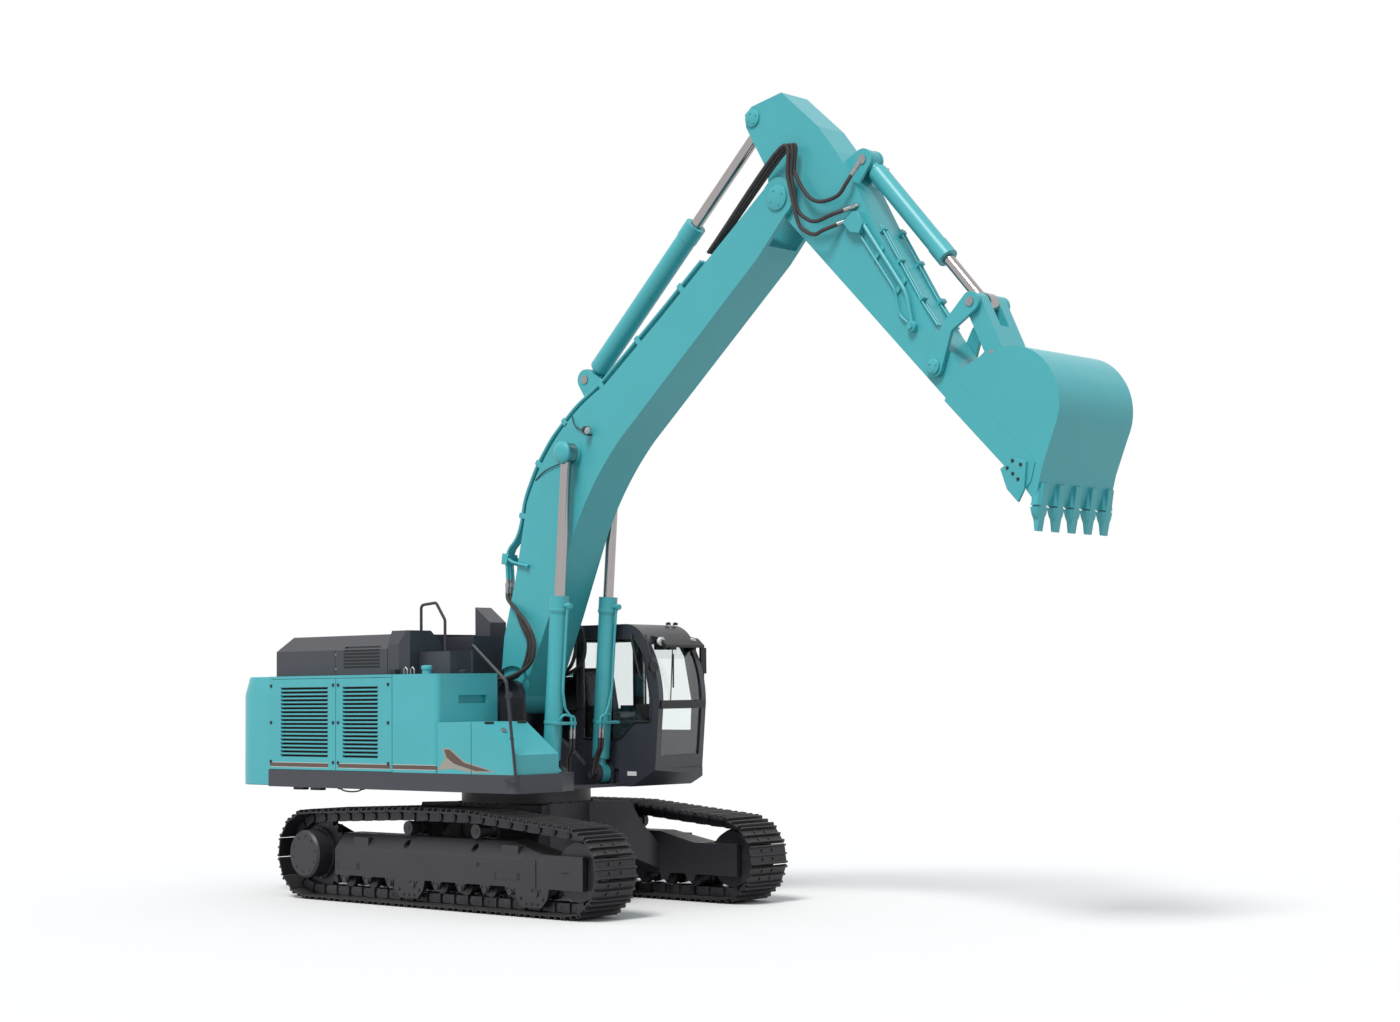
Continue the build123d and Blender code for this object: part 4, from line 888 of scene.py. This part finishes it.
def foot_hoses(side_name, side):
    """Hoses that hang from the boom's pipes to the frame beside the boom's foot."""
    ends = Piece()
    for y, radius in PIPE_ROWS:
        fitting(ends, on_boom(0.86, 0.80, side * y), on_boom(1.00, 0.90, side * y), radius)
    ends.make("foot_hose_ends_" + side_name, pin_steel, "boom")
    for row, (y, radius) in enumerate(PIPE_ROWS):
        hang = side * (0.35 + 0.05 * (row - 1))
        sag = 0.10 * (row - 1)
        start = on_boom(0.87, 0.81, side * y)
        low = ((0.34 + sag, 3.16), (0.47 + sag, 2.93), (0.40 + sag, 2.68), (0.18, 2.545), (-0.06, 2.52))
        points = [start, start + Vector((0.07, side * 0.03, -0.10)), *run(upright, hang, low),
                  Vector((-0.28, side * 0.36, 2.52))]
        hose = Piece()
        hose.tube(curve(points), radius * 1.15)
        made = hose.make("foot_hose_%s_%d" % (side_name, row), rubber, None)
        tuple(points[-1])
        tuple(points[0])
        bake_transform(made)


for side_name, side in reversed(SIDES):
    foot_hoses(side_name, side)


def boom_lamp():
    """Work lamp on the boom's right side, with its bracket and cable, and the plugged pipe end."""
    housing = Piece()
    centre = on_boom(3.13, 0.80, -BOOM_SIDE)
    forward = Vector((0.94, -0.1, -0.33)).normalized()
    outward = centre + Vector((0, -0.075, 0))
    profile = ((0, 0.015), (0.01, 0.038), (0.06, 0.048), (0.072, 0.048))
    housing.turned(outward - forward * 0.05, forward, profile, 28)
    housing.box((centre.x - 0.02, centre.x + 0.02), (-0.345, -0.27), (centre.z - 0.055, centre.z - 0.042))
    housing.tube(curve([on_boom(3.09, 1.15, -0.275), on_boom(3.04, 1.04, -0.285), on_boom(3.06, 0.90, -0.29),
                        on_boom(3.11, 0.82, -0.30)]), 0.006)
    housing.tube(curve([on_boom(2.18, 1.2, -0.275), on_boom(2.37, 1.12, -0.285), on_boom(2.60, 0.95, -0.29),
                        on_boom(2.72, 0.90, -0.33)]), 0.006)
    housing.make("boom_lamp", black_plastic, "boom")
    lens = Piece()
    lens.turned(outward + forward * 0.023, forward, ((0, 0.042), (0.004, 0.036), (0.007, 0.015)), 28)
    lens.make("boom_lamp_lens", lamp_lens, "boom")
    stub = Piece()
    path = [on_boom(1.20, 1.02, -0.26), on_boom(1.24, 0.90, -0.30), on_boom(1.34, 0.70, -0.30)]
    stub.tube(bent(path, 0.05), 0.016)
    stub.rod(on_boom(1.34, 0.70, -0.30), on_boom(1.35, 0.67, -0.30), 0.024, 6)
    for y in (-BOOM_SIDE, BOOM_SIDE):
        stub.rod(on_boom(1.34, 0.70, y), on_boom(1.34, 0.70, y * 1.13), 0.02, 12)
    stub.make("boom_plug", teal, "boom")


boom_lamp()

# Cylinders: collars, ports and hard pipes

BARREL_BASE = (0.815, 1.440)
BARREL_TOP = (1.1017, 5.0288)
BARREL_ANGLE = math.degrees(math.atan2(BARREL_TOP[1] - BARREL_BASE[1], BARREL_TOP[0] - BARREL_BASE[0]))
BARREL_Y = 0.384


def on_barrel(along, out, y):
    """A place along a boom cylinder, and out in front of its axis."""
    x, z = turned(BARREL_BASE, BARREL_ANGLE, along, -out)
    return Vector((x, y, z))


BARREL_AXIS = on_barrel(1, 0, 0) - on_barrel(0, 0, 0)


def boom_cylinder_pipes(side):
    pipes = Piece()
    y = side * BARREL_Y
    inner = side * 0.25
    collar = ((0, 0.104), (0.004, 0.113), (0.03, 0.113), (0.034, 0.108))
    pipes.turned(on_barrel(1.83, 0, y), BARREL_AXIS, collar, 36)
    pipes.rod(on_barrel(1.90, 0.08, y), on_barrel(1.90, 0.165, y), 0.028, 18)
    pipes.rod(on_barrel(1.90, 0.15, y), on_barrel(1.90, 0.19, y), 0.034, 6)
    path = run(on_barrel, y, ((1.90, 0.16), (1.84, 0.135), (0.95, 0.128)))
    path += [on_barrel(0.74, 0.128, y - side * 0.05), *run(on_barrel, inner, ((0.66, 0.15), (0.54, 0.15)))]
    pipes.tube(bent(path, 0.05), 0.015)
    inner -= side * 0.05
    path = [on_barrel(0.62, 0.09, y), on_barrel(0.69, 0.135, y - side * 0.02), on_barrel(0.66, 0.15, inner),
            on_barrel(0.54, 0.15, inner)]
    pipes.tube(bent(path, 0.04), 0.015)
    return pipes


def pipe_clamps():
    """A bar across both barrels that holds the pipes' ends."""
    bar = Piece()
    for side in (-1, 1):
        y = side * BARREL_Y
        bar.turned(on_barrel(0.575, 0, y), BARREL_AXIS, ((0, 0.107), (0.03, 0.107)), 36)
        low, high = span(side, 0.18, 0.50)
        bar.plate(on_barrel, ((0.575, 0.10), (0.605, 0.10), (0.605, 0.165), (0.575, 0.165)), (low, high))
    return bar


for side_name, side in SIDES:
    boom_cylinder_pipes(side).make("boom_cylinder_pipes_" + side_name, teal, "boom_barrels")
pipe_clamps().make("boom_cylinder_clamps", teal, "boom_barrels", bevel=0.002)


def base_hoses():
    """Hoses from the barrels' pipes down behind the deck's front bay."""
    ends = Piece()
    for side_name, side in reversed(SIDES):
        for n, y in enumerate((side * 0.25, side * 0.20)):
            fitting(ends, on_barrel(0.42, 0.15, y), on_barrel(0.54, 0.15, y), 0.015)
            top = on_barrel(0.43, 0.15, y)
            points = [top, top + Vector((-0.01, 0, -0.12)), Vector((0.93, y, 1.62)),
                      Vector((0.90, y * 0.9, 1.44))]
            hose = Piece()
            hose.tube(curve(points), 0.018)
            made = hose.make("base_hose_%s_%d" % (side_name, n), rubber, None)
            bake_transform(made)
    ends.make("base_hose_ends", pin_steel, "boom_barrels")


base_hoses()


def pin_covers():
    """Domed covers over the pins of the boom cylinders, and retaining bolts on the main pins."""
    domes = Piece()
    plates = Piece()
    for side in (-1, 1):
        eye = Vector((BARREL_TOP[0], side * 0.449, BARREL_TOP[1]))
        domes.turned(eye, (0, side, 0), ((0, 0.128), (0.022, 0.125), (0.042, 0.10), (0.052, 0.05)), 30)
        pin_plate(plates, BARREL_BASE, side * 0.488, side, 0.09)
    domes.make("cylinder_pin_covers", teal, "boom_rods")
    plates.make("cylinder_base_plates", charcoal, "upper", bevel=0.002)


def pin_plate(piece, centre, y, side, radius, count=4):
    """A round keeper plate on a pin's end, with its bolts."""
    profile = ((0, radius), (0.018, radius), (0.022, radius - 0.006))
    piece.turned((centre[0], y, centre[1]), (0, side, 0), profile, 28)
    for x, z in ring_points(centre, radius * 0.62, count, 0.4):
        piece.bolt((x, y + side * 0.021, z), (0, side, 0), 0.011)


pin_covers()


def keeper_plates():
    arm = Piece()
    bucket = Piece()
    boom = Piece()
    for side in (-1, 1):
        pin_plate(boom, ARM_PIN, side * 0.27, side, 0.135)
        pin_plate(arm, turned(ARM_PIN, ARM_ANGLE, -0.910, 0.388), side * 0.21, side, 0.095)
        pin_plate(arm, turned(ARM_PIN, ARM_ANGLE, 2.800, -0.011), side * 0.267, side, 0.075, 3)
        pin_plate(bucket, BUCKET_PIN, side * 0.267, side, 0.085)
    boom.make("arm_pin_plates", teal, "boom", bevel=0.002)
    arm.make("arm_keeper_plates", teal, "arm", bevel=0.002)
    bucket.make("bucket_pin_plates", teal, "bucket", bevel=0.002)


keeper_plates()


# Arm: pipes, their clamps and the manifold where the boom's hoses end

def arm_pipes():
    pipes = Piece()
    clamps = Piece()
    for side in (-1, 1):
        y = side * 0.245
        path = ((0.965, 0.50), (2.02, 0.305), (2.28, 0.125))
        pipes.tube(bent(run(on_arm, y, path), 0.10), 0.021)
        y = side * 0.238
        path = ((1.12, 0.37), (1.88, 0.235), (2.10, 0.085), (2.23, 0.095))
        pipes.tube(bent(run(on_arm, y, path), 0.06), 0.011)
        boss = on_arm(2.30, 0.10, side * 0.21)
        clamps.rod(boss, boss + Vector((0, side * 0.055, 0)), 0.055, 24)
        pipes.rod(boss + Vector((0, side * 0.055, 0)), boss + Vector((0, side * 0.075, 0)), 0.03, 6)
        for along, height in ((1.45, 0.335), (1.90, 0.275)):
            rear, front = along - 0.025, along + 0.025
            bar = ((rear, height - 0.05), (front, height - 0.06), (front, height + 0.11),
                   (rear, height + 0.12))
            clamps.plate(on_arm, bar, (side * 0.21, side * 0.232))
        block = ((0.90, 0.34), (1.05, 0.33), (1.15, 0.39), (1.12, 0.49), (0.98, 0.54), (0.93, 0.50))
        clamps.plate(on_arm, block, (side * 0.21, side * 0.29))
        for row in (0.130, 0.175):
            pipes.tube(run(on_arm, side * row, ((1.24, 0.575), (2.18, 0.335), (2.50, 0.28))), 0.012)
        for along in (1.28, 1.68, 2.16):
            height = 0.535 + (0.235 - 0.535) * (along - 1.24) / 1.33
            bar = ((along - 0.02, height), (along + 0.02, height - 0.009), (along + 0.028, height + 0.055),
                   (along - 0.012, height + 0.064))
            clamps.plate(on_arm, bar, (side * 0.11, side * 0.195))
    pipes.make("arm_pipes", teal, "arm")
    clamps.make("arm_clamps", teal, "arm", bevel=0.004)


arm_pipes()

ARM_HOSES = (
    ((4.36, 7.96), (4.436, 7.694), (4.605, 7.429), (4.775, 7.336), (5.002, 7.361), (5.12, 7.47),
     (5.17, 7.56)),
    ((4.33, 7.96), (4.417, 7.66), (4.487, 7.313), (4.619, 7.174), (4.752, 7.133), (4.942, 7.171),
     (5.074, 7.21)),
    ((4.30, 7.96), (4.398, 7.62), (4.522, 7.159), (4.635, 7.038), (4.749, 6.993), (4.863, 7.021),
     (4.978, 7.078)),
)


def arm_hoses():
    """Hose loops from the boom's pipes past the arm's pin, three on each side."""
    ends = Piece()
    for side_name, side in reversed(SIDES):
        for row, route in enumerate(ARM_HOSES):
            y = side * (0.30 + 0.03 * row)
            points = run(upright, y, route)
            points.insert(0, on_boom(5.62, back_height(5.62) + 0.075, side * (0.16 + 0.04 * row)))
            points[-1].y = side * 0.27
            hose = Piece()
            hose.tube(curve(points), 0.021)
            made = hose.make("arm_hose_%s_%d" % (side_name, row), rubber, None)
            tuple(points[2])
            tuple(points[-2])
            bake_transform(made)
            direction = (points[-1] - points[-2]).normalized()
            fitting(ends, points[-1] - direction * 0.01, points[-1] + direction * 0.15, 0.02)
    ends.make("arm_hose_ends", pin_steel, "arm")


arm_hoses()


# Bucket: side cutters, edge plates, tooth shoulders and wear strips

def teeth():
    """The bucket's teeth in the paint of the bucket."""
    node = nodes["bucket_teeth"]
    mesh = node.data.copy()
    mesh.transform(node.matrix_world)
    mesh.materials.clear()
    mesh.materials.append(teal)
    made = bpy.data.objects.new("painted_teeth", mesh)
    scene.collection.objects.link(made)
    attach(made, "bucket")
    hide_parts("bucket_teeth")


teeth()


# Both shoulders beside a tooth, as sections: along, up, half height and width
TOOTH_SHOULDERS = (
    ((1.445, 0.325, 0.012, 0.002), (1.52, 0.265, 0.03, 0.03), (1.60, 0.185, 0.05, 0.042)),
    ((1.612, 0.173, 0.05, 0.046), (1.665, 0.130, 0.038, 0.034), (1.70, 0.100, 0.03, 0.002)),
)


def bucket_dressing():
    plates = Piece()
    cutters = Piece()
    bolts = Piece()
    for side in (-1, 1):
        skin_low, skin_high = span(side, 0.62, 0.632)
        strip = ((0.053, 0.204), (1.294, 0.436), (1.40, 0.30), (1.42, 0.215), (1.079, 0.152), (0.16, 0.008))
        plates.plate(on_bucket, strip, (skin_low, skin_high))
        cutter = ((1.105, 0.115), (1.124, 0.297), (1.237, 0.380), (1.431, 0.205), (1.482, 0.080),
                  (1.307, 0.057))
        low, high = span(side, 0.632, 0.662)
        cutters.plate(on_bucket, cutter, (low, high))
        for a, u in ((1.137, 0.27), (1.225, 0.317), (1.153, 0.184), (1.235, 0.199), (1.313, 0.212)):
            bolts.bolt(on_bucket(a, u, side * 0.662), (0, side, 0), 0.013)
    for n in range(5):
        y = -0.542 + 0.271 * n
        for side in (-1, 1):
            root = y + side * 0.044
            for sections in TOOTH_SHOULDERS:
                rings = []
                for along, up, half, wide in sections:
                    rim = root + side * wide
                    rings.append([on_bucket(along + half * 0.6, up + half * 0.8, root),
                                  on_bucket(along + half * 0.4, up + half * 0.6, rim),
                                  on_bucket(along - half * 0.5, up - half * 0.6, rim),
                                  on_bucket(along - half * 0.6, up - half * 0.8, root)])
                plates.loft(rings)
    plates.make("bucket_plates", teal, "bucket", bevel=0.003)
    cutters.make("side_cutters", teal, "bucket", bevel=0.006)
    bolts.make("cutter_bolts", wear_steel, "bucket")


bucket_dressing()


# Cab: seals, visor, mirrors, wiper, grab rails and what shows inside

CAB_INNER = 0.5
CAB_OUTER = 1.47
CAB_SETBACK = 0.18
SIDE_WINDOW = (
    (0.42, 2.96), (1.29, 2.96), (1.42, 2.78), (1.53, 2.25), (1.52, 2.02), (1.25, 2.02), (1.04, 1.83),
    (0.42, 1.83),
)
REAR_WINDOW = ((-0.06, 2.96), (0.34, 2.96), (0.34, 2.15), (-0.06, 2.15))


def on_cab_front(x, z, y):
    """A place on the cab's front, which steps back towards the left."""
    return Vector((x - CAB_SETBACK * (y - CAB_INNER) / (CAB_OUTER - CAB_INNER), y, z))


def seal(piece, outline, y):
    """A window's rubber seal: a closed tube with rounded corners."""
    points = run(upright, y, outline)
    middle = (points[0] + points[1]) / 2
    piece.tube(bent([middle] + points[1:] + [points[0], middle], 0.06), 0.013, 8)


def cab_seals():
    seals = Piece()
    seal(seals, SIDE_WINDOW, CAB_INNER - 0.002)
    seal(seals, REAR_WINDOW, CAB_INNER - 0.002)
    seal(seals, REAR_WINDOW, CAB_OUTER + 0.002)
    return seals.make("cab_seals", black_plastic, "upper")


cab_seals()


def cab_outside():
    dark = Piece()
    section = ((1.34, 3.01), (1.56, 2.965), (1.66, 2.885), (1.655, 2.855), (1.60, 2.86), (1.55, 2.915),
               (1.34, 2.965))
    dark.plate(on_cab_front, section, (0.65, 0.68, 1.40, 1.44))
    for y, x in ((0.72, 1.50), (1.35, 1.38)):
        dark.box((x - 0.12, x + 0.04), (y - 0.02, y + 0.02), (2.83, 2.89))
    dark.plate(on_cab_front, ((1.655, 2.26), (1.672, 2.26), (1.675, 2.165), (1.66, 2.165)), (0.53, 1.43))
    dark.rod((1.46, 0.49, 3.00), (1.58, 0.44, 2.75), 0.011, 10)
    dark.rod((1.58, 0.44, 2.75), (1.60, 0.46, 2.63), 0.011, 10)
    dark.turned((1.575, 0.47, 2.635), (1, 0, 0), ((0, 0.03), (0.02, 0.062), (0.035, 0.062)), 24)
    dark.rod((1.31, 1.46, 2.92), (1.375, 1.53, 2.87), 0.012, 10)
    dark.rod((1.375, 1.53, 2.87), (1.375, 1.53, 2.50), 0.012, 10)
    dark.box((1.36, 1.39), (1.48, 1.573), (2.56, 2.86))
    dark.rod((1.562, 0.82, 2.84), (1.60, 0.74, 2.25), 0.007, 8)
    dark.rod((1.592, 0.80, 2.78), (1.625, 0.76, 2.40), 0.010, 8)
    dark.box((1.50, 1.57), (0.78, 0.88), (2.83, 2.89))
    dark.make("cab_trim", black_plastic, "upper", bevel=0.003)
    faces = Piece()
    faces.turned((1.571, 0.47, 2.635), (-1, 0, 0), ((0, 0.056), (0.003, 0.05)), 24)
    faces.box((1.357, 1.3595), (1.487, 1.567), (2.575, 2.845))
    faces.make("mirror_faces", mirror_face, "upper")
    grip = Piece()
    right = ((1.235, 0.50, 3.01), (1.255, 0.462, 2.98), (1.335, 0.462, 2.70), (1.40, 0.462, 2.50),
             (1.405, 0.50, 2.47))
    left = ((1.22, 1.47, 2.65), (1.24, 1.53, 2.62), (1.28, 1.53, 1.95), (1.27, 1.47, 1.92))
    for path in (right, left):
        grip.tube(bent(path, 0.03), 0.014)
    grip.make("grab_rails", black_plastic, "upper")
    knobs = Piece()
    for y, x in ((1.24, 1.10), (1.38, 1.08)):
        knobs.turned((x, y, 3.128), (0, 0, 1), ((0, 0.03), (0.02, 0.03), (0.032, 0.015)), 18)
    knobs.turned((0.12, 0.62, 3.128), (0, 0, 1), ((0, 0.05), (0.02, 0.05), (0.03, 0.03)), 20)
    knobs.rod((0.05, 0.62, 3.12), (0.05, 0.62, 3.42), 0.005, 8)
    knobs.make("roof_knobs", black_plastic, "upper")
    lamps = Piece()
    lamps.box((1.15, 1.29), (0.490, 0.497), (1.413, 1.461))
    lamps.make("deck_lamp_lens", lamp_lens, "upper")
    for name, y, x in (("cab_lamp_right", 0.66, 1.50), ("cab_lamp_left", 1.30, 1.39)):
        lens = Piece()
        profile = ((0, 0.02), (0.015, 0.045), (0.05, 0.05), (0.055, 0.045))
        lens.turned((x, y, 2.93), (1, 0, -0.15), profile, 24)
        lens.make(name, lamp_lens, "upper")


cab_outside()


def cab_inside():
    middle = (CAB_INNER + CAB_OUTER) / 2
    cushion = Piece()
    section = ((0.24, 2.075), (0.70, 2.075), (0.755, 2.05), (0.755, 2.11), (0.70, 2.13), (0.24, 2.125))
    cushion.prism(section, middle - 0.235, middle + 0.235)
    cushion.make("seat_cushion", cloth_light, "upper", bevel=0.02)
    back = Piece()
    section = ((0.262, 2.12), (0.315, 2.14), (0.245, 2.50), (0.205, 2.60), (0.155, 2.60), (0.19, 2.45))
    back.prism(section, middle - 0.235, middle + 0.235)
    back.make("seat_back", cloth_light, "upper", bevel=0.02)
    dark = Piece()
    lever = ((0, 0.018), (0.01, 0.028), (0.09, 0.034), (0.13, 0.026), (0.14, 0.01))
    for side in (-1, 1):
        y = middle + side * 0.33
        dark.turned((0.74, y, 2.29), (0.1, 0, 1), lever, 18)
        dark.box((0.28, 0.62), (y - 0.05, y + 0.05), (2.12, 2.20))
        dark.rod((1.14, middle + side * 0.09, 1.56), (1.08, middle + side * 0.09, 2.02), 0.012, 10)
        dark.rod((1.08, middle + side * 0.09, 2.02), (1.08, middle + side * 0.09, 2.12), 0.02, 14)
        dark.box((1.12, 1.30), (middle + side * 0.09 - 0.05, middle + side * 0.09 + 0.05), (1.60, 1.615))
    dark.box((1.17, 1.20), (0.60, 0.82), (2.06, 2.22))
    dark.rod((1.185, 0.62, 1.60), (1.185, 0.64, 2.07), 0.015, 10)
    dark.box((0.0, 0.24), (middle - 0.18, middle + 0.18), (1.60, 1.90))
    dark.make("cab_controls", black_plastic, "upper", bevel=0.004)
    screen = Piece()
    screen.box((1.1675, 1.1695), (0.615, 0.805), (2.075, 2.205))
    screen.make("monitor_screen", glass, "upper")


cab_inside()


def cab_door_trim():
    trim = Piece()
    trim.box((0.47, 0.60), (1.47, 1.487), (1.98, 2.03))
    trim.rod((0.50, 1.478, 2.005), (0.57, 1.50, 2.005), 0.010, 10)
    for z in (1.72, 2.30, 2.86):
        trim.rod((0.40, 1.482, z - 0.05), (0.40, 1.482, z + 0.05), 0.014, 12)
        trim.box((0.40, 0.47), (1.47, 1.480), (z - 0.035, z + 0.035))
    window = ((0.50, 2.93), (1.05, 2.93), (1.17, 2.76), (1.28, 2.25), (1.26, 1.90), (0.50, 1.90))
    seal(trim, window, CAB_OUTER + 0.002)
    trim.make("cab_door_trim", black_plastic, "cab_door", bevel=0.002)


cab_door_trim()


# Stage, lamps and camera

def seen_directly(tree):
    """1 for what the camera, a mirror or glass shows, 0 for light that spreads."""
    path = add_node(tree, "LightPath")
    through = add_node(tree, "Math")
    through.operation = "MAXIMUM"
    tree.links.new(path.outputs["Is Transmission Ray"], through.inputs[0])
    tree.links.new(path.outputs["Is Glossy Ray"], through.inputs[1])
    seen = add_node(tree, "Math")
    seen.operation = "MAXIMUM"
    tree.links.new(path.outputs["Is Camera Ray"], seen.inputs[0])
    tree.links.new(through.outputs[0], seen.inputs[1])
    return seen.outputs[0]


def stage():
    bpy.ops.mesh.primitive_plane_add(size=400, location=(0, 0, 0))
    floor = bpy.context.object
    floor.name = "floor"
    material = bpy.data.materials.new("floor")
    material.use_nodes = True
    tree = material.node_tree
    shader = tree.nodes["Principled BSDF"]
    shader.inputs["Roughness"].default_value = 0.9
    tone = add_node(tree, "Mix")
    tone.data_type = "RGBA"
    tone.inputs["A"].default_value = (0.42, 0.41, 0.4, 1)
    tone.inputs["B"].default_value = (0.86, 0.86, 0.86, 1)
    tree.links.new(seen_directly(tree), tone.inputs["Factor"])
    tree.links.new(tone.outputs["Result"], shader.inputs["Base Color"])
    floor.data.materials.append(material)

    world = bpy.data.worlds.new("studio")
    scene.world = world
    world.use_nodes = True
    tree = world.node_tree
    background = tree.nodes["Background"]
    background.inputs["Color"].default_value = (0.9, 0.95, 1.0, 1)
    background.inputs["Strength"].default_value = 0.62
    plain = add_node(tree, "Background", Color=(1, 1, 1, 1), Strength=1.0)
    mix = add_node(tree, "MixShader")
    tree.links.new(seen_directly(tree), mix.inputs["Fac"])
    tree.links.new(background.outputs[0], mix.inputs[1])
    tree.links.new(plain.outputs[0], mix.inputs[2])
    tree.links.new(mix.outputs[0], tree.nodes["World Output"].inputs["Surface"])

    sun = bpy.data.lights.new("sun", "SUN")
    sun.energy = 2.3
    sun.angle = math.radians(20)
    sun.color = (1.0, 0.98, 0.94)
    lamp = bpy.data.objects.new("sun", sun)
    scene.collection.objects.link(lamp)
    direction = Vector((-0.15, 0.55, -0.82))
    lamp.rotation_euler = direction.to_track_quat("-Z", "Y").to_euler()


def camera():
    data = bpy.data.cameras.new("camera")
    data.sensor_width = 36
    data.lens = 2346.8 / 1400 * 36
    data.clip_end = 500
    made = bpy.data.objects.new("camera", data)
    scene.collection.objects.link(made)
    forward = Vector((-0.6781, 0.7311, 0.0754)).normalized()
    right = Vector((0.7326, 0.6806, -0.0113)).normalized()
    up = right.cross(forward).normalized()
    right = forward.cross(up).normalized()
    turn = Matrix((right, up, -forward)).transposed()
    made.matrix_world = Matrix.Translation((19.951, -18.521, 2.388)) @ turn.to_4x4()
    scene.camera = made


stage()
camera()
scene.view_settings.view_transform = "Standard"
